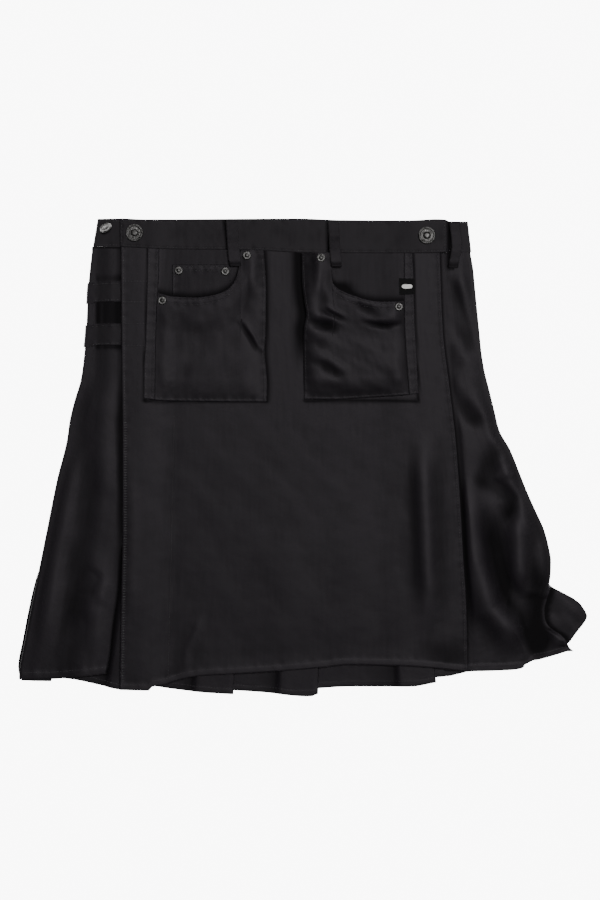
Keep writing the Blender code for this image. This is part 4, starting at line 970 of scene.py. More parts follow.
@dataclass
class LeftSide(SewnPiece):
    """The left hip panel: round the left fold, across the top, and back under beside the apron."""

    hem_line: float = 8.0
    radius: float = FOLD_RADIUS * 2

    def height(self, x: Array, y: Array) -> Array:
        """Returns the middle of the panel with its soft unevenness."""
        inside = smooth_step(x - LEFT_OUTLINE.at(y), 4, 22) * smooth_step(LEFT_INNER_EDGE.at(y) - x, 3, 20)
        low = smooth_step(110 - y, 0, 40)
        return left_side_height(x, y) + (crumple(x, y, 0.2, 1.3) + 0.4) * inside * low

    def painted_shade(self, x: Array, y: Array) -> Array:
        """Returns painted shade beside the apron, along the panel's fold edges, between and under the straps, and
        across its top at the waist seam.
        """
        upper = smooth_step(y, 40, 110)
        beside = (1.1 - 0.6 * upper) * bell(np.maximum(APRON_LEFT.at(y) - x, 0.0), 6.5 - 2.0 * upper)
        beside = beside * smooth_step(y, -190, -60) + 0.9 * bell(LEFT_INNER_EDGE.at(y) - x, 1.6) * smooth_step(-y, 90, 120)
        open_part = smooth_step(x, -238, -234) - 0.5 * bell(x + 229.4, 2.0)
        window = smooth_step(y, 150, 153) * (1 - smooth_step(y, 176, 179)) * open_part
        below = 0.9 * bell(y - 126.0, 3.0) + 0.5 * bell(y - 204.0, 4.0)
        outer = 1.1 * bell(x - LEFT_OUTLINE.at(y) - 0.5, 1.8) * smooth_step(-y, 90, 120) + 1.2 * smooth_step(y, 238, 239)
        return np.clip(outer + beside + 0.85 * window + open_part * below * smooth_step(y, 100, 110), 0.0, 1.2)

    def build(self) -> bpy.types.Object:
        """Returns the panel's cloth."""
        left = LEFT_OUTLINE.moved(WALL / 2 + self.radius)
        right = LEFT_INNER_EDGE.moved(-FOLD_RADIUS)
        x, y = panel_plan(left, right, UNDER_WAIST_SEAM, LEFT_HEM, even(42), spread(490, 3.0, (0, .4, 1.2, 3, 5, 7, 8, 9.4), False))
        z = self.height(x, y)
        raised = stitched(y - LEFT_HEM.at(x), x, (self.hem_line,), 0.4)
        low = OVER_PLEATS - 2 * self.radius
        columns_x, columns_z, columns_r = [], [], []
        for dx, dz in reversed(half_turn(0.0, -2 * self.radius, -1, 9)[1:]):
            columns_x.append(x[:, 0] + dx)
            columns_z.append(z[:, 0] + dz)
            columns_r.append(raised[:, 0])
        tail_x, tail_z = columns_x[0] + 4.0, np.maximum(columns_z[0], low)
        under = half_turn(0.0, -LAYER, 1, 7)[1:]
        all_x = np.column_stack([tail_x, *columns_x, x] + [x[:, -1] + dx for dx, _ in under] + [x[:, -1] - LEFT_RETURN / 2, x[:, -1] - LEFT_RETURN])
        all_z = np.column_stack([tail_z, *columns_z, z] + [z[:, -1] + dz for _, dz in under]
                                + [z[:, -1] - LAYER, z[:, -1] - LAYER])
        fold_y = np.column_stack([y[:, 0]] * (len(columns_x) + 1) + [y] + [y[:, -1]] * (len(under) + 2))
        extra = np.column_stack([raised[:, 0] * 0] + [r * 0.6 for r in columns_r] + [raised]
                                + [raised[:, -1] * 0] * (len(under) + 2))
        return self.finish(np.dstack([all_x, fold_y, all_z]), extra, "folded")

    def sew(self, sewing: Sewing) -> None:
        """Sews the panel's hem."""
        sewing.run(cross_line(LEFT_HEM, self.hem_line, -318, -227), self.height, self.thickness / 2 + 0.3)


@dataclass
class RightSide(SewnPiece):
    """The right hip panel: from under the apron to the rolled right edge, fluted at its hem."""

    hem_line: float = 8.0
    arc_length: float = 6.3
    roll_steps: int = 9

    def height(self, x: Array, y: Array) -> Array:
        """Returns the middle of the panel with its soft unevenness."""
        clear = smooth_step(x - APRON_RIGHT.at(y), 2, 12) * smooth_step(RIGHT_OUTLINE.at(y) - x, 2, 16)
        return right_side_height(x, y) + (crumple(x, y, 0.26, 2.2) + 0.5) * clear

    def painted_shade(self, x: Array, y: Array) -> Array:
        """Returns painted shade beside the apron, at the left of the belt loop's foot and in the hollow inside the
        fluted corner, painted highlight along the free rolled edge, and a paler tone along the turned hem.
        """
        beside = 0.7 * bell(np.maximum(x - APRON_RIGHT.at(y), 0.0), 1.6)
        beside += 1.0 * bell(np.minimum(x - 166.0, 0.0), 2.6) * smooth_step(y, 212, 216) * (x < 172)
        hollow = 1.0 * bell((x - 266) / 13.0, 1.0) * smooth_step(-y, 105, 150) * (1 - smooth_step(-y, 216, 232))
        free = smooth_step(-y, 138, 152)
        edge = 0.9 * bell(np.maximum(RIGHT_OUTLINE.at(y) - x - 1.0, 0.0), 2.0) * free
        turned = 0.4 * (1 - smooth_step(y - RIGHT_HEM.at(x), self.hem_line - 1, self.hem_line)) * (x < 262)
        return np.clip(beside + hollow, 0.0, 1.2) - edge - turned

    def build(self) -> bpy.types.Object:
        """Returns the panel's cloth, with the roll down its right edge."""
        inner = APRON_RIGHT.moved(-26.0)
        across = even(14, 0.0, 0.26) + even(46, 0.275, 1.0)
        down = even(110, 0.0, 0.72) + spread(1.0, 0.005, (0.0, 0.0025, 0.007, 0.012, 0.018, 0.024), False)
        down = down[:110] + [0.722 + 0.278 * value for value in down[111:]]
        shares = np.array(across)
        upper = edge_crossing(inner, RIGHT_OUTLINE, UNDER_WAIST_SEAM, shares)
        lower = edge_crossing(inner, RIGHT_OUTLINE, RIGHT_HEM, shares)
        part = np.array(down)[:, None]
        y = upper[None] * (1 - part) + lower[None] * part
        opened = smooth_step(-y, 128, 156)
        turn = math.pi * (1 - opened) + 0.16 * opened
        tail = 0.8 + 8.0 * (1 - smooth_step(-y, 96, 128))
        reach = self.arc_length / turn * np.sin(np.minimum(turn, math.pi / 2)) + np.maximum(0.0, tail * np.cos(turn)) + 0.5
        x = inner.at(y) * (1 - shares[None]) + (RIGHT_OUTLINE.at(y) - reach) * shares[None]
        z = self.height(x, y)
        raised = stitched(np.abs(y - RIGHT_HEM.at(x)), x, (self.hem_line,), 0.4) * smooth_step(-y, 150, 190)
        low = TABLE_LAYER + LAYER
        edge_turn, edge_tail = turn[:, -1], tail[:, -1]
        radius = np.minimum(self.arc_length / edge_turn, (z[:, -1] - low) / (1 - np.cos(edge_turn)))
        xs, zs = [x], [z]
        for step in range(1, self.roll_steps + 1):
            angle = edge_turn * step / self.roll_steps
            xs.append((x[:, -1] + radius * np.sin(angle))[:, None])
            zs.append((z[:, -1] - radius + radius * np.cos(angle))[:, None])
        xs.append(xs[-1] + (edge_tail * np.cos(edge_turn))[:, None])
        zs.append(zs[-1] - (edge_tail * np.sin(edge_turn))[:, None])
        count = self.roll_steps + 1
        ys = np.column_stack([y] + [y[:, -1]] * count)
        extra = np.column_stack([raised] + [raised[:, -1]] * count)
        return self.finish(np.dstack([np.hstack(xs), ys, np.hstack(zs)]), extra, "draped")

    def sew(self, sewing: Sewing) -> None:
        """Sews the panel's hem as far as the flute's corner."""
        sewing.run(cross_line(RIGHT_HEM, self.hem_line, 190, 255), self.height, self.thickness / 2 + 0.3)
        sewing.run(cross_line(RIGHT_HEM, self.hem_line, 262, 300), self.height, self.thickness / 2 + 0.3)


@dataclass
class BackPanel(SewnPiece):
    """The knife-pleated back, seen inside out below the apron's hem."""

    hem_line: float = 6.5

    def columns(self) -> list[tuple[Callable[[Array], Array], float, Callable[[Array], Array]]]:
        """Returns each column's place by y, its height and its hem by x."""
        top, middle, low = TABLE_LAYER + 2 * LAYER, TABLE_LAYER + LAYER, TABLE_LAYER
        rise_starts, rise_ends = 12.0, 3.0
        columns = []

        def mixed(first: Edge, second: Edge, share: float) -> Callable[[Array], Array]:
            """Returns a hem between two hems."""
            return lambda x: first.at(x) * (1 - share) + second.at(x) * share

        first = PLEATS[0]
        for share in (0.0, 0.03, 0.08, 0.3, 0.6, 0.9):
            columns.append((lambda y, s=share: LOW_LEFT_EDGE.at(y) * (1 - s) + (first.x_at(y, 1.0) - rise_starts) * s,
                            low, PLEAT_HEMS[0].at))
        for k, pleat in enumerate(PLEATS):
            hem, next_hem = PLEAT_HEMS[k], PLEAT_HEMS[k + 1]
            if k:
                before = PLEATS[k - 1]
                for share in even(9):
                    columns.append((lambda y, s=share, a=before, b=pleat: (a.x_at(y) + 1.0) * (1 - s)
                                    + (b.x_at(y, 1.0) - rise_starts) * s, low, hem.at))
            for share in (0.2, 0.4, 0.6, 0.8, 1.0):
                run = rise_starts + (rise_ends - rise_starts) * share
                rise = low + (top - low) * float(smooth_step(share, 0, 1))
                columns.append((lambda y, p=pleat, r=run: p.x_at(y, 1.0) - r, rise, hem.at))
            for share in (0.9, 0.7, 0.5, 0.3, 0.15):
                columns.append((lambda y, p=pleat, s=share: p.x_at(y, s), top, hem.at))
            for dx, z in half_turn(top, middle, 1, 6):
                columns.append((lambda y, p=pleat, d=dx: p.x_at(y) - FOLD_RADIUS + d, z, mixed(hem, next_hem, 0.0)))
            for dx, z in half_turn(middle, low, -1, 6):
                columns.append((lambda y, p=pleat, d=dx: p.x_at(y, 1.0) + FOLD_RADIUS + d, z,
                                mixed(hem, next_hem, 1.0)))
            for share in (0.75, 0.45, 0.2):
                columns.append((lambda y, p=pleat, s=share: p.x_at(y, s), low, next_hem.at))
        last = PLEATS[-1]
        columns.append((lambda y: last.x_at(y) + 1.0, low, PLEAT_HEMS[-1].at))
        columns.append((lambda y: (last.x_at(y) + 1.0 + LOW_SEAM.at(y)) / 2, low, PLEAT_HEMS[-1].at))
        columns.append((lambda y: LOW_SEAM.at(y) - 0.04, low, PLEAT_HEMS[-1].at))
        return columns

    def painted_shade(self, x: Array, y: Array) -> Array:
        """Returns painted shade in the gap between the left hip panel and the apron, and along the left outline."""
        gap = smooth_step(x - LEFT_INNER_EDGE.at(y), -3, -1) * (1 - smooth_step(x - APRON_LEFT.at(y), 0, 2))
        beside = 1.1 * bell(np.maximum(x - LEFT_INNER_EDGE.at(y) - 0.5, 0.0), 1.8) + 0.35
        outer = 1.1 * (1 - smooth_step(x - LEFT_OUTLINE.at(y), 0.5, 2.0))
        return np.clip(beside, 0.0, 1.2) * gap * (1 - smooth_step(-y, 246, 252)) + outer

    def build(self) -> bpy.types.Object:
        """Returns the back's cloth."""
        columns = self.columns()
        down = np.array(spread(490, 7.0, (0.0, 0.4, 1.2, 2.6, 4.2, 5.6, 6.5, 7.4, 9.0), False))
        grid = np.zeros((len(down), len(columns), 3))
        raised = np.zeros((len(down), len(columns)))
        for j, (place, z, hem) in enumerate(columns):
            end = -255.0
            for _ in range(9):
                end = 0.5 * end + 0.5 * float(hem(place(end)))
            start = float(UNDER_WAIST_SEAM.at(place(233.0)))
            y = start + down * (end - start)
            x = place(y)
            grid[:, j] = np.column_stack([x, y, np.full(len(down), z)])
            raised[:, j] = stitched(y - end, x, (self.hem_line,), 0.25)
        return self.finish(grid, raised * 0.8, "folded")

    def sew(self, sewing: Sewing) -> None:
        """Sews the hem of each pleat's stretch that shows."""
        top = TABLE_LAYER + 2 * LAYER
        for k, pleat in enumerate(PLEATS[1:], 1):
            left = float(PLEATS[k - 1].x_at(-254)) + 3
            right = float(pleat.x_at(-254)) - 3
            sewing.run(cross_line(PLEAT_HEMS[k], self.hem_line, left, right, 30),
                       lambda x, y, p=pleat: TABLE_LAYER + (top - TABLE_LAYER) * smooth_step(
                           x - p.x_at(y, 1.0), -12, -3), self.thickness / 2 + 0.2)


@dataclass
class UnderRight(SewnPiece):
    """The right end of the back, whose hem corner lies out past the upper layer."""

    hem_line: float = 5.0

    def painted_shade(self, x: Array, y: Array) -> Array:
        """Returns painted shadow where the upper layer's free edge shades the cloth."""
        return 1.1 * bell(np.maximum(x - RIGHT_OUTLINE.at(y) - 1.5, 0.0), 4.5) * smooth_step(-y, 140, 150)

    def build(self) -> bpy.types.Object:
        """Returns the panel's cloth, spanned between its four edges."""
        start = float(LOW_SEAM.at(-244.5)) + 0.04
        hem = [(start, -244.5)] + [point for point in FLAP_HEM if point[0] > start]
        top_y = float(WAIST_SEAM.at(160)) - SEAM_GAP
        right = [(x, y) for y, x in reversed(LOW_RIGHT_EDGE) if y < top_y] + [hem[-1]]
        right[0] = (right[0][0] - 1.0, top_y)
        top = [(float(LOW_SEAM.at(top_y)) + 0.04, top_y), right[0]]
        across, down = even(56), spread(490, 4.0, (0, 0.5, 1.5, 3, 4.2, 5.0, 5.8, 7.5), False)
        plan = self.patch([top[0], hem[0]], right, top, hem, across, down)
        x, y = plan[..., 0], plan[..., 1]
        lower = np.array(hem)
        away = np.min(np.hypot(x[..., None] - np.linspace(lower[:-1, 0], lower[1:, 0], 12).T.ravel(),
                               y[..., None] - np.linspace(lower[:-1, 1], lower[1:, 1], 12).T.ravel()), axis=2)
        shown = smooth_step(x - RIGHT_OUTLINE.at(y), 0, 6) * smooth_step(-y, 145, 155)
        z = TABLE_LAYER + shown * (0.6 + crumple(x, y, 0.7, 3.1)).clip(0)
        raised = stitched(away, x + y, (self.hem_line,), 0.3)
        return self.finish(np.dstack([x, y, z]), raised)

    def patch(self, left: Sequence, right: Sequence, top: Sequence, bottom: Sequence, across: Sequence[float],
              down: Sequence[float]) -> Array:
        """Spans a plan between four runs of points.

        Args:
            left: The left edge's points, from the top down.
            right: The right edge's points, from the top down.
            top: The top edge's points, from the left.
            bottom: The bottom edge's points, from the left.
            across: Shares of the way to the right.
            down: Shares of the way down.

        Returns:
            The grid of x and y.
        """
        upper, lower = self.along(top, across), self.along(bottom, across)
        first, last = self.along(left, down), self.along(right, down)
        u, v = np.array(across)[None, :, None], np.array(down)[:, None, None]
        corners = ((1 - u) * (1 - v) * upper[0] + u * (1 - v) * upper[-1] + (1 - u) * v * lower[0]
                   + u * v * lower[-1])
        return (1 - v) * upper[None] + v * lower[None] + (1 - u) * first[:, None] + u * last[:, None] - corners

    @staticmethod
    def along(points: Sequence, shares: Sequence[float]) -> Array:
        """Returns the points at given shares of a run's length."""
        run = np.array(points, float)
        length = np.concatenate([[0.0], np.cumsum(np.linalg.norm(np.diff(run, axis=0), axis=1))])
        at = np.array(shares) * length[-1]
        return np.column_stack([np.interp(at, length, run[:, 0]), np.interp(at, length, run[:, 1])])


@dataclass
class FrontBand(SewnPiece):
    """The apron's waistband, two layers of cloth pressed and stitched all round."""

    left_end: float = -208.6
    right_end: float = 163.2
    line: float = 2.4

    def height(self, x: Array, y: Array) -> Array:
        """Returns the middle of the band with its soft unevenness."""
        inside = smooth_step(x - self.left_end, 0, 12) * smooth_step(self.right_end - x, 0, 12)
        return band_height(x) + 0.25 * (crumple(x, y, 0.8, 4.4)) * inside + 0.1

    def painted_shade(self, x: Array, y: Array) -> Array:
        """Returns painted shadow at the left of the two belt loops."""
        beside = np.zeros(np.shape(x))
        for top_edge, foot_edge in ((-88.5, -85.0), (29.7, 29.7)):
            edge = foot_edge + (top_edge - foot_edge) * smooth_step(y, 235, 272)
            beside += 1.1 * bell(x - edge + 0.6, 2.2)
        return np.clip(beside, 0.0, 1.2)

    def build(self) -> bpy.types.Object:
        """Returns the band's cloth."""
        left, right = Edge(((200, self.left_end), (300, self.left_end))), Edge(((200, self.right_end), (300, self.right_end)))
        x, y = panel_plan(left, right, TOP_EDGE, WAIST_SEAM, spread(372, 2.6), spread(38, 1.8))
        raised = np.zeros_like(x)
        for distance, along in ((x - self.left_end, y), (self.right_end - x, y), (TOP_EDGE.at(x) - y, x),
                                (y - WAIST_SEAM.at(x), x)):
            raised += stitched(distance, along, (self.line,), 0.0)
        return self.finish(np.dstack([x, y, self.height(x, y)]), raised)

    def sew(self, sewing: Sewing) -> None:
        """Sews round the band's four edges."""
        above = self.thickness / 2 - 0.02
        sewing.run(cross_line(TOP_EDGE, -self.line, self.left_end + 2, self.right_end - 2), self.height, above)
        sewing.run(cross_line(WAIST_SEAM, self.line, self.left_end + 2, self.right_end - 2), self.height, above)
        for x in (self.left_end + self.line, self.right_end - self.line):
            sewing.run([(x, 269.0), (x, 236.5)], self.height, above)


@dataclass
class BackBand(SewnPiece):
    """The waistband that goes round the back and wraps both sides to the front."""

    line: float = 2.4
    left_reach: float = -174.0
    right_reach: float = 139.0

    def painted_shade(self, x: Array, y: Array) -> Array:
        """Returns painted shadow at the left of the right belt loop."""
        return 1.0 * bell(x - 166.2, 2.4) * smooth_step(x, 150, 160)

    def build(self) -> bpy.types.Object:
        """Returns the band's cloth, one flattened loop open at the front."""
        radius = (BAND_WRAP_LEVEL - BAND_BACK_LEVEL) / 2
        reach = radius + 1.0
        down = np.array(spread(38, 1.8))
        rows = []
        for part in down:
            left, right = -234.2 - 5.4 * part + reach, 187.6 + 4.0 * part - reach
            section = [(x, BAND_WRAP_LEVEL) for x in np.linspace(self.left_reach, left + 1.5, 24)]
            section += [(left + dx, z) for dx, z in half_turn(BAND_WRAP_LEVEL, BAND_BACK_LEVEL, -1, 12)]
            section += [(x, BAND_BACK_LEVEL) for x in np.linspace(left + 4, right - 4, 100)]
            section += [(right + dx, z) for dx, z in reversed(half_turn(BAND_WRAP_LEVEL, BAND_BACK_LEVEL, 1, 12))]
            section += [(x, BAND_WRAP_LEVEL) for x in np.linspace(right - 1.5, self.right_reach, 24)]
            rows.append([(x, 0.0, z) for x, z in section])
        grid = np.array(rows)
        x = grid[..., 0]
        top, bottom = TOP_EDGE.at(x), WAIST_SEAM.at(x)
        grid[..., 1] = top * (1 - down[:, None]) + bottom * down[:, None]
        raised = stitched(top - grid[..., 1], x, (self.line,), 0.0) + stitched(grid[..., 1] - bottom, x, (self.line,), 0.0)
        return self.finish(grid, raised, "folded")

    def sew(self, sewing: Sewing) -> None:
        """Sews the two stretches that show on the front."""
        surface = lambda x, y: np.full(np.shape(x), BAND_WRAP_LEVEL)
        above = self.thickness / 2 - 0.02
        for left, right in ((-233, -210.5), (165, 188)):
            sewing.run(cross_line(TOP_EDGE, -self.line, left, right, 8), surface, above)
            sewing.run(cross_line(WAIST_SEAM, self.line, left, right, 8), surface, above)


@dataclass
class PocketPart(SewnPiece):
    """One flat piece of a pocket between four edges, with its own stitched edges."""

    left: Edge = POCKET_LEFT_EDGE
    right: Edge = POCKET_LEFT_SEAM
    top: Edge = UNDER_WAIST_SEAM
    bottom: Edge = POCKET_LEFT_BOTTOM
    surface: HeightMap = facing_height
    across: Sequence[float] = ()
    down: Sequence[float] = ()
    left_lines: tuple[float, ...] = ()
    right_lines: tuple[float, ...] = ()
    top_lines: tuple[float, ...] = ()
    bottom_lines: tuple[float, ...] = ()
    uneven: float = 0.25
    seed: float = 0.0

    def height(self, x: Array, y: Array) -> Array:
        """Returns the middle of the cloth with its soft unevenness."""
        inside = (smooth_step(x - self.left.at(y), 0, 12) * smooth_step(self.right.at(y) - x, 0, 12)
                  * smooth_step(y - self.bottom.at(x), 0, 12))
        return self.surface(x, y) + (crumple(x, y, self.uneven, self.seed) + self.uneven) * inside

    def painted_shade(self, x: Array, y: Array) -> Array:
        """Returns painted shade on the layers behind the pocket's front: below its mouth, in the mouth's corner and a
        little all over.
        """
        if "body" in self.node or "strip" in self.node:
            return np.zeros(np.shape(x))
        left = "left" in self.node
        mouth = POCKET_LEFT_MOUTH if left else POCKET_RIGHT_MOUTH
        corner = bell(x + 67, 5.0) * (1 - smooth_step(y, 205, 224)) if left else bell(x - 44, 11.0) * (1 - smooth_step(y, 192, 204))
        return np.clip(0.75 * bell(np.maximum(y - mouth.at(x), 0.0), 5.0) + corner + 0.12, 0.0, 1.2)

    def build(self) -> bpy.types.Object:
        """Returns the piece's cloth."""
        x, y = panel_plan(self.left, self.right, self.top, self.bottom, self.across, self.down)
        raised = np.zeros_like(x)
        for lines, distance, along in ((self.left_lines, x - self.left.at(y), y),
                                       (self.right_lines, self.right.at(y) - x, y),
                                       (self.top_lines, self.top.at(x) - y, x),
                                       (self.bottom_lines, y - self.bottom.at(x), x)):
            if lines:
                raised += stitched(distance, along, lines, 0.25)
        return self.finish(np.dstack([x, y, self.height(x, y)]), raised)


@dataclass
class HipStrap(SewnPiece):
    """A strap over the left hip panel, round the left fold and back under it."""

    top: float = 200.6
    bottom: float = 177.0
    drop: float = 2.0
    slack: float = 0.15
    base: HeightMap = left_side_height

    def height(self, x: Array, y: Array) -> Array:
        """Returns the middle of the strap over the panel."""
        return self.base(x, y) + LAYER + self.slack

    def build(self) -> bpy.types.Object:
        """Returns the strap's cloth."""
        radius = FOLD_RADIUS * 2
        outer = radius + LAYER
        rows = []
        right = float(APRON_LEFT.at((self.top + self.bottom) / 2)) - 0.8
        for part in spread(24, 1.6):
            y_row = self.top + part * (self.bottom - self.top)
            left = float(LEFT_OUTLINE.at(y_row - self.drop)) + WALL / 2 + radius
            row = []
            for share in even(26):
                x = left * (1 - share) + right * share
                y = y_row - self.drop * (1 - float(smooth_step(share, 0, 0.35)))
                slack = self.slack * float(smooth_step(share, 0, 0.3))
                row.append((x, y, float(self.base(np.array(x), np.array(y))) + LAYER + slack))
            first = row[0]
            fold = [(left + dx, first[1], first[2] + dz) for dx, dz in half_turn(0.0, -2 * outer, -1, 9)[1:]]
            fold.append((left + 8.5, first[1], first[2] - 2 * outer))
            rows.append(fold[::-1] + row)
        grid = np.array(rows)
        x, y = grid[..., 0], grid[..., 1]
        raised = stitched(self.top - y, x, (2.4,), 0.2) + stitched(y - self.bottom, x, (2.4,), 0.2)
        return self.finish(grid, raised, "folded")

    def sew(self, sewing: Sewing) -> None:
        """Sews both long edges of the strap."""
        for y in (self.top - 2.4, self.bottom + 2.4):
            sewing.run([(-240, y - self.drop * 0.8), (-226, y - 0.3), (-209.5, y)], self.height, self.thickness / 2 + 0.2)


@dataclass
class BeltLoop(SewnPiece):
    """A belt loop: folded strip with both edges stitched, tacked above and below the waistband."""

    top_x: float = 0.0
    middle_x: float = 0.0
    foot_x: float = 0.0
    foot_y: float = 218.0
    width: float = 12.6
    on_wrap: bool = False
    proud: float = 2.4

    def painted_shade(self, x: Array, y: Array) -> Array:
        """Returns painted shadow down the loop's left side, a little along its right edge and across the bar at its
        foot, and a lighter tone over the rest.
        """
        top_y = float(TOP_EDGE.at(self.top_x)) - 0.6
        centre = Edge(((0.0, self.top_x), (0.5, self.middle_x), (1.0, self.foot_x))).at((top_y - y) / (top_y - self.foot_y))
        side = 1.0 * bell(x - centre + self.width / 2, 1.6) + 0.4 * bell(x - centre - self.width / 2, 0.9) - 0.25
        return np.clip(side + 0.7 * bell(y - self.foot_y, 1.0) + 0.5 * bell(y - self.foot_y - 4.0, 0.7), -0.3, 1.2)

    def build(self) -> bpy.types.Object:
        """Returns the loop's cloth."""
        centre_line = Edge(((0.0, self.top_x), (0.5, self.middle_x), (1.0, self.foot_x)))
        top_y = float(TOP_EDGE.at(self.top_x)) - 0.6
        grid = []
        for part in spread(52, 1.5):
            y = top_y + part * (self.foot_y - top_y)
            centre = float(centre_line.at(part))
            beside, level = np.linspace(centre - 8, centre + 8, 9), np.full(9, y)
            if self.on_wrap:
                band = BAND_WRAP_LEVEL + 1.0
                foot = float(np.max(right_side_height(beside, level))) + 0.5
            else:
                band = float(band_height(centre)) + 1.0
                pocket = pocket_left_height if centre < 0 else pocket_right_height
                foot = float(np.max(pocket(beside, level))) + 0.5
            begins, ends = (0.2, 0.95) if foot > band else (0.7, 0.92)
            seat = band + (foot - band) * float(smooth_step(part, begins, ends))
            lift = self.proud * math.sin(math.pi * min(1.0, part * 1.04)) ** 0.6 if 0 < part < 0.96 else 0.0
            z = seat + SEAM_GAP + 0.5 + lift
            grid.append([(centre + self.width * (share - 0.5), y, z) for share in spread(self.width, 1.2, (0, 0.3, 0.9, 1.8, 2.6))])
        points = np.array(grid)
        across = points[..., 0] - points[:, :1, 0]
        raised = stitched(across, points[..., 1], (2.0,), 0.15) + stitched(self.width - across, points[..., 1], (2.0,), 0.15)
        return self.finish(points, raised)


@dataclass
class Stud:
    """A turned metal stud, modelled once and set in as many places as it is used."""

    name: str
    profile: Rows
    rays: int = 0
    ray_ring: tuple[float, float] = (3.6, 6.6)
    ray_height: float = 0.16
    sides: int = 48

    def model(self) -> bpy.types.Object:
        """Returns the master: a disc, drawn up ring by ring and closed at its crown, at the origin."""
        (_, foot), (first, _), *rows, (_, crown) = self.profile
        bpy.ops.object.select_all(action="DESELECT")
        bpy.ops.mesh.primitive_circle_add(vertices=self.sides, radius=first * MM, fill_type="NGON",
                                          location=(0, 0, foot * MM))
        master = bpy.context.object
        master.name = master.data.name = f"{self.name}_master"
        bpy.ops.object.transform_apply(location=True, rotation=True, scale=True)
        bpy.ops.object.mode_set(mode="EDIT")
        bpy.ops.mesh.select_all(action="SELECT")
        radius, height = first, foot
        for next_radius, next_height in rows:
            bpy.ops.mesh.extrude_region_move(
                TRANSFORM_OT_translate={"value": (0, 0, (next_height - height) * MM)})
            share = next_radius / radius
            bpy.ops.transform.resize(value=(share, share, 1), center_override=(0, 0, 0))
            radius, height = next_radius, next_height
        bpy.ops.mesh.extrude_region_move(TRANSFORM_OT_translate={"value": (0, 0, (crown - height) * MM)})
        bpy.ops.mesh.merge(type="CENTER")
        bpy.ops.mesh.select_all(action="SELECT")
        bpy.ops.mesh.normals_make_consistent(inside=False)
        bpy.ops.object.mode_set(mode="OBJECT")
        self.press(master)
        bpy.ops.object.shade_smooth_by_angle(angle=math.radians(42))
        return master

    def press(self, master: bpy.types.Object) -> None:
        """Presses the rays into the crown, between the two radii of the ray ring."""
        low, high = self.ray_ring
        for vertex in master.data.vertices:
            radius = math.hypot(vertex.co.x, vertex.co.y) / MM
            if self.rays and vertex.co.z > 0.8 * MM and low <= radius <= high:
                vertex.co.z += self.ray_height * MM * math.cos(self.rays * math.atan2(vertex.co.y, vertex.co.x))

    def set_in(self, places: dict[str, tuple], material: bpy.types.Material) -> None:
        """Sets a copy of the master, with a mesh of its own, in each place.

        Args:
            places: For each node, the place of its foot and its tilt, in millimetres and radians.
            material: The metal's finish.
        """
        master = self.model()
        for node, (place, tilt) in places.items():
            made = bpy.data.objects.new(f"{node}_metal", master.data.copy())
            made.data.name = made.name
            bpy.context.scene.collection.objects.link(made)
            made.data.transform(Matrix.Translation(Vector(place) * MM) @ Euler(tilt).to_matrix().to_4x4())
            made.data.materials.append(material)
            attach(made, "root")
            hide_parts(node)
        bpy.data.objects.remove(master)


BUTTON_PROFILE: Rows = ((0, 0), (6.4, 0), (6.8, 0.9), (9.1, 1.0), (9.6, 1.3), (9.7, 1.8), (9.5, 2.3), (9.1, 2.6),
                        (8.6, 2.7), (8.0, 2.6), (7.5, 2.3), (7.1, 2.1), (6.5, 2.15), (5.6, 2.3), (4.8, 2.35),
                        (4.2, 2.3), (3.8, 2.5), (3.2, 2.9), (2.2, 3.1), (1.2, 3.2), (0, 3.2))
SHANK_PROFILE: Rows = ((0, 0), (2.6, 0), (2.6, 2.0), (6.4, 2.1), (6.9, 2.4), (7.2, 3.0), (7.1, 3.5), (6.8, 3.8),
                       (6.3, 4.0), (5.8, 3.95), (5.2, 3.7), (4.4, 3.75), (3.6, 3.8), (2.8, 4.1), (1.4, 4.3), (0, 4.3))
RIVET_PROFILE: Rows = ((0, 0), (4.6, 0), (4.85, 0.2), (4.9, 0.5), (4.7, 0.85), (4.3, 1.05), (3.8, 1.15), (3.3, 1.14),
                       (2.9, 1.08), (2.5, 1.1), (2.2, 1.22), (1.9, 1.4), (1.4, 1.6), (0.7, 1.74), (0, 1.76))


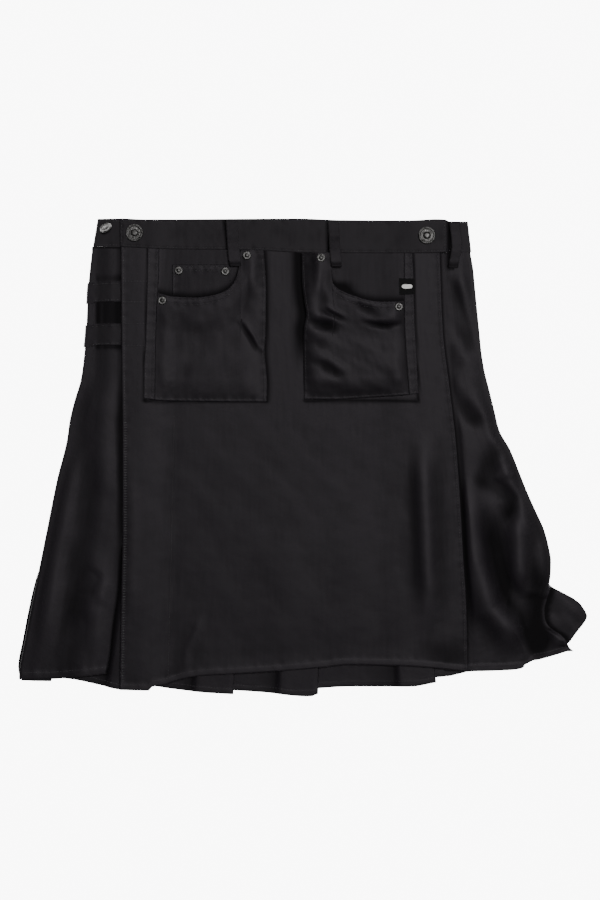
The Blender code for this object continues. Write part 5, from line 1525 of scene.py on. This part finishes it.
@dataclass
class Studio:
    """The pale table, the soft lights and the camera straight above."""

    table_reach: float = 30.0
    camera_height: float = 3.0
    field_height: float = 900 * PIXEL * MM
    centre: tuple[float, float] = ((300 - 303.25) * PIXEL * MM, (457.5 - 450) * PIXEL * MM)
    sensor: float = 36.0

    def build(self, room: Workroom) -> None:
        """Builds the stage."""
        self.table(room)
        self.light("softbox_above", (0.7, 0.9, 5.0), 1.8, 210.0)
        self.light("softbox_left", (-2.0, 0.5, 1.2), 1.2, 1.0)
        world = bpy.data.worlds.new("studio_air")
        world.use_nodes = True
        background = world.node_tree.nodes["Background"]
        background.inputs[0].default_value = (1.0, 1.0, 1.0, 1.0)
        background.inputs[1].default_value = 0.07
        bpy.context.scene.world = world
        self.camera()

    def table(self, room: Workroom) -> None:
        """Lays the white table just under the kilt."""
        bpy.ops.object.select_all(action="DESELECT")
        bpy.ops.mesh.primitive_plane_add(size=self.table_reach, location=(0, 0, -0.0002))
        table = bpy.context.object
        table.name = "studio_table"
        table.data.transform(Matrix.Translation(table.location))
        table.location = (0, 0, 0)
        table.data.materials.append(room.table)

    @staticmethod
    def light(name: str, place: tuple[float, float, float], size: float, power: float) -> None:
        """Hangs a square soft light that faces the kilt."""
        data = bpy.data.lights.new(name, "AREA")
        data.size = size
        data.energy = power
        lamp = bpy.data.objects.new(name, data)
        lamp.location = place
        lamp.rotation_euler = (-Vector(place)).to_track_quat("-Z", "Y").to_euler()
        bpy.context.scene.collection.objects.link(lamp)

    def camera(self) -> None:
        """Hangs the camera straight above, with the waist at the top of the picture."""
        data = bpy.data.cameras.new("camera_above")
        data.sensor_fit = "VERTICAL"
        data.sensor_height = self.sensor
        data.lens = self.sensor * self.camera_height / self.field_height
        camera = bpy.data.objects.new("camera_above", data)
        camera.location = (*self.centre, self.camera_height)
        bpy.context.scene.collection.objects.link(camera)
        bpy.context.scene.camera = camera


def pocket_parts(room: Workroom) -> dict[str, PocketPart]:
    """Returns every flat piece of the two pockets, by a short name."""
    gap = SEAM_GAP / 2
    facing_left = Edge(((170, -63.0), (237, -63.0)))
    facing_right = Edge(((160, 23.0), (233, 23.0)))
    strip = spread(14, 1.6, (0.0, 0.35, 1.0, 2.0, 3.0))
    tall = spread(172, 2.0)
    body = spread(126, 1.5)
    common = {"material": room.cloth, "slot": Slot.CLOTH}
    mouth_shares = sorted(set(even(90)) | {0.739, 0.7415, 0.744, 0.7465, 0.749, 0.752, 0.755})
    right_shares = sorted(set(even(90)) | {0.2805, 0.2825, 0.2845, 0.2865, 0.289, 0.2915, 0.294, 0.297})
    return {
        "left_strip": PocketPart("pocket_left_strip", left=POCKET_LEFT_EDGE, right=POCKET_LEFT_SEAM.moved(-gap),
                                 across=strip, down=tall, left_lines=(2.4,), right_lines=(2.6,),
                                 bottom_lines=(2.4,), uneven=0.12, seed=0.7, rests_on=("front_apron",), **common),
        "right_strip": PocketPart("pocket_right_strip", left=POCKET_RIGHT_SEAM.moved(gap),
                                  right=POCKET_RIGHT_STRIP_EDGE, bottom=POCKET_RIGHT_BOTTOM, across=strip, down=tall,
                                  left_lines=(2.6,), right_lines=(2.4,), bottom_lines=(2.4,), uneven=0.12,
                                  seed=1.9, rests_on=("front_apron",), **common),
        "left_body": PocketPart("pocket_left_body", left=POCKET_LEFT_SEAM.moved(gap), right=POCKET_LEFT_RIGHT_EDGE,
                                top=POCKET_LEFT_MOUTH, surface=pocket_left_height, across=mouth_shares,
                                down=spread(150, 1.6), right_lines=(2.4,), top_lines=(2.6, 7.6), bottom_lines=(2.4,),
                                uneven=0.35, seed=2.5, rests_on=("front_apron", "pocket_left_facing"), **common),
        "right_body": PocketPart("pocket_right_body", left=POCKET_RIGHT_EDGE, right=POCKET_RIGHT_SEAM.moved(-gap),
                                 top=POCKET_RIGHT_MOUTH, bottom=POCKET_RIGHT_BOTTOM, surface=pocket_right_height,
                                 across=right_shares, down=spread(150, 1.5), left_lines=(2.4,),
                                 top_lines=(2.6, 7.6), bottom_lines=(2.4,), uneven=0.45, seed=3.7,
                                 rests_on=("front_apron", "pocket_right_facing"), **common),
        "left_facing": PocketPart("pocket_left_facing", left=POCKET_LEFT_SEAM.moved(gap), right=facing_left,
                                  bottom=POCKET_LEFT_FACING_END, across=even(50), down=even(30), uneven=0.05,
                                  seed=4.1, rests_on=("front_apron",), **common),
        "right_facing": PocketPart("pocket_right_facing", left=facing_right, right=POCKET_RIGHT_SEAM.moved(-gap),
                                   bottom=POCKET_RIGHT_FACING_END, across=even(50), down=even(30), uneven=0.05,
                                   seed=5.3, rests_on=("front_apron",), **common),
        "coin": PocketPart("pocket_left_coin", left=Edge(((180, -149.0), (222, -149.0))),
                           right=Edge(((180, -82.6), (222, -82.6))), top=Edge(((-150, 219.4), (-82, 219.4))),
                           bottom=POCKET_LEFT_MOUTH.moved(0.8), surface=coin_height, across=spread(66, 1.5),
                           down=spread(34, 1.5), left_lines=(2.4,), top_lines=(2.4, 6.6), uneven=0.12, seed=6.1,
                           rests_on=("pocket_left_facing",), **common),
        "label": PocketPart("woven_label", left=Edge(((184, 109.4), (205, 109.0))),
                            right=Edge(((184, 127.2), (205, 126.6))), top=Edge(((108, 203.8), (128, 203.4))),
                            bottom=Edge(((108, 185.0), (128, 185.6))), surface=coin_height, across=even(20),
                            down=even(22), uneven=0.05, seed=7.7, thickness=0.6, material=room.label,
                            slot=Slot.LABEL, rests_on=("pocket_right_strip",)),
    }


def sew_pockets(parts: dict[str, PocketPart], sewing: Sewing) -> None:
    """Sews the pockets' edges, mouths and side strips.

    Args:
        parts: The pockets' pieces.
        sewing: Where the stitches go.
    """
    above = CLOTH / 2 + 0.22
    left, right = parts["left_body"], parts["right_body"]
    strip_left, strip_right = parts["left_strip"], parts["right_strip"]
    sewing.run(down_line(POCKET_LEFT_EDGE, 2.4, 234, 67), strip_left.height, above)
    sewing.run(down_line(POCKET_LEFT_SEAM, -2.8, 234, 67), strip_left.height, above)
    sewing.run(cross_line(POCKET_LEFT_BOTTOM, 2.4, -179, -170, 6), strip_left.height, above)
    sewing.run(cross_line(POCKET_LEFT_BOTTOM, 2.4, -166, -45, 40), left.height, above)
    sewing.run(down_line(POCKET_LEFT_RIGHT_EDGE, -2.4, 233, 66), left.height, above)
    sewing.run(down_line(POCKET_RIGHT_EDGE, 2.4, 230, 69), right.height, above)
    sewing.run(cross_line(POCKET_RIGHT_BOTTOM, 2.4, 4, 117, 40), right.height, above)
    sewing.run(cross_line(POCKET_RIGHT_BOTTOM, 2.4, 122, 129, 6), strip_right.height, above)
    sewing.run(down_line(POCKET_RIGHT_SEAM, 2.8, 230, 74), strip_right.height, above)
    sewing.run(down_line(POCKET_RIGHT_STRIP_EDGE, -2.4, 230, 75), strip_right.height, above)
    for inset in (3.0, 8.0):
        sewing.run(cross_line(POCKET_LEFT_MOUTH, -inset, -163, -84 + inset * 0.4, 60), left.height, above)
        sewing.run(cross_line(POCKET_RIGHT_MOUTH, -inset, 36 - inset * 0.2, 112, 60), right.height, above)
    coin = parts["coin"]
    for y in (216.8, 212.4):
        sewing.run([(-134, y), (-96, y)], coin.height, above)
    sewing.run([(-146.6, 216), (-146.6, 186)], coin.height, above)


def build_metal(room: Workroom) -> None:
    """Builds the buttons and rivets, each on its solid's own place."""
    around = np.linspace(0, 2 * math.pi, 12, endpoint=False)
    rivets = (("rivet_left_strip", -160.3, 178.4, pocket_left_height),
              ("rivet_coin_left", -141.6, 212.6, coin_height), ("rivet_coin_right", -88.6, 211.6, coin_height),
              ("rivet_left_mouth", -64.1, 229.6, pocket_left_height),
              ("rivet_right_mouth", 20.2, 226.6, pocket_right_height),
              ("rivet_right_strip", 108.6, 171.2, pocket_right_height))
    upright = (0.0, 0.0, 0.0)
    places = {}
    for node, x, y, seat in rivets:
        xs, ys = x + 5.2 * np.cos(around), y + 5.2 * np.sin(around)
        top = float(max(np.max(seat(xs, ys)), seat(np.array(x), np.array(y)))) + 0.8
        places[node] = ((x, y, top), upright)
    Stud("rivet", RIVET_PROFILE).set_in(places, room.nickel)
    buttons = {node: ((x, y, float(band_height(x)) + 1.3), upright)
               for node, x, y in (("button_left", -191.8, 255.4), ("button_right", 140.5, 252.5))}
    Stud("button", BUTTON_PROFILE, rays=16).set_in(buttons, room.nickel)
    tilted = (math.radians(-37.7), math.radians(-26.6), 0.0)
    Stud("shank_button", SHANK_PROFILE, rays=12, ray_ring=(2.6, 5.4)).set_in(
        {"button_hip": ((-223.2, 259.2, BAND_WRAP_LEVEL + 4.2), tilted)}, room.nickel)
    LOG.info("metal: 3 buttons and %d rivets", len(rivets))


def main() -> None:
    """Builds the kilt piece by piece, then the stage."""
    logging.basicConfig(level=logging.INFO, format="%(name)s: %(message)s")
    room = Workroom()
    sewing = Sewing("kilt_stitches", room.thread)
    cloth = {"material": room.cloth, "slot": Slot.CLOTH}
    band = {"material": room.band, "slot": Slot.BAND}
    pieces = [BackPanel("back_panel", rests_on=("studio_table",), **cloth),
              UnderRight("right_under_panel", rests_on=("studio_table",), **cloth),
              LeftSide("left_side_panel", rests_on=("back_panel",), **cloth),
              RightSide("right_side_panel", rests_on=("right_under_panel",), **cloth),
              Apron("front_apron", rests_on=("left_side_panel", "right_side_panel"), **cloth),
              BackBand("waistband_back", rests_on=("studio_table",), thickness=BAND_CLOTH, **band),
              FrontBand("waistband_front", rests_on=("waistband_back",), thickness=BAND_CLOTH, **band),
              HipStrap("hip_strap_upper", rests_on=("left_side_panel",), top=200.6, bottom=177.0, **band),
              HipStrap("hip_strap_lower", rests_on=("left_side_panel",), top=152.6, bottom=127.6, **band),
              BeltLoop("belt_loop_left", rests_on=("waistband_front",), top_x=-81.6, middle_x=-80.0, foot_x=-77.4,
                       foot_y=217.4, width=13.8, **band),
              BeltLoop("belt_loop_middle", rests_on=("waistband_front",), top_x=33.6, middle_x=35.4, foot_x=37.4,
                       foot_y=216.6, width=12.6, **band),
              BeltLoop("belt_loop_right", rests_on=("waistband_back",), top_x=171.4, middle_x=174.2, foot_x=170.0,
                       foot_y=215.6, width=11.8, on_wrap=True, **band)]
    parts = pocket_parts(room)
    for piece in [*pieces, *parts.values()]:
        piece.build()
        if hasattr(piece, "sew"):
            piece.sew(sewing)
    sew_pockets(parts, sewing)
    sewing.finish()
    build_metal(room)
    Studio().build(room)


if __name__ == "__main__":
    main()
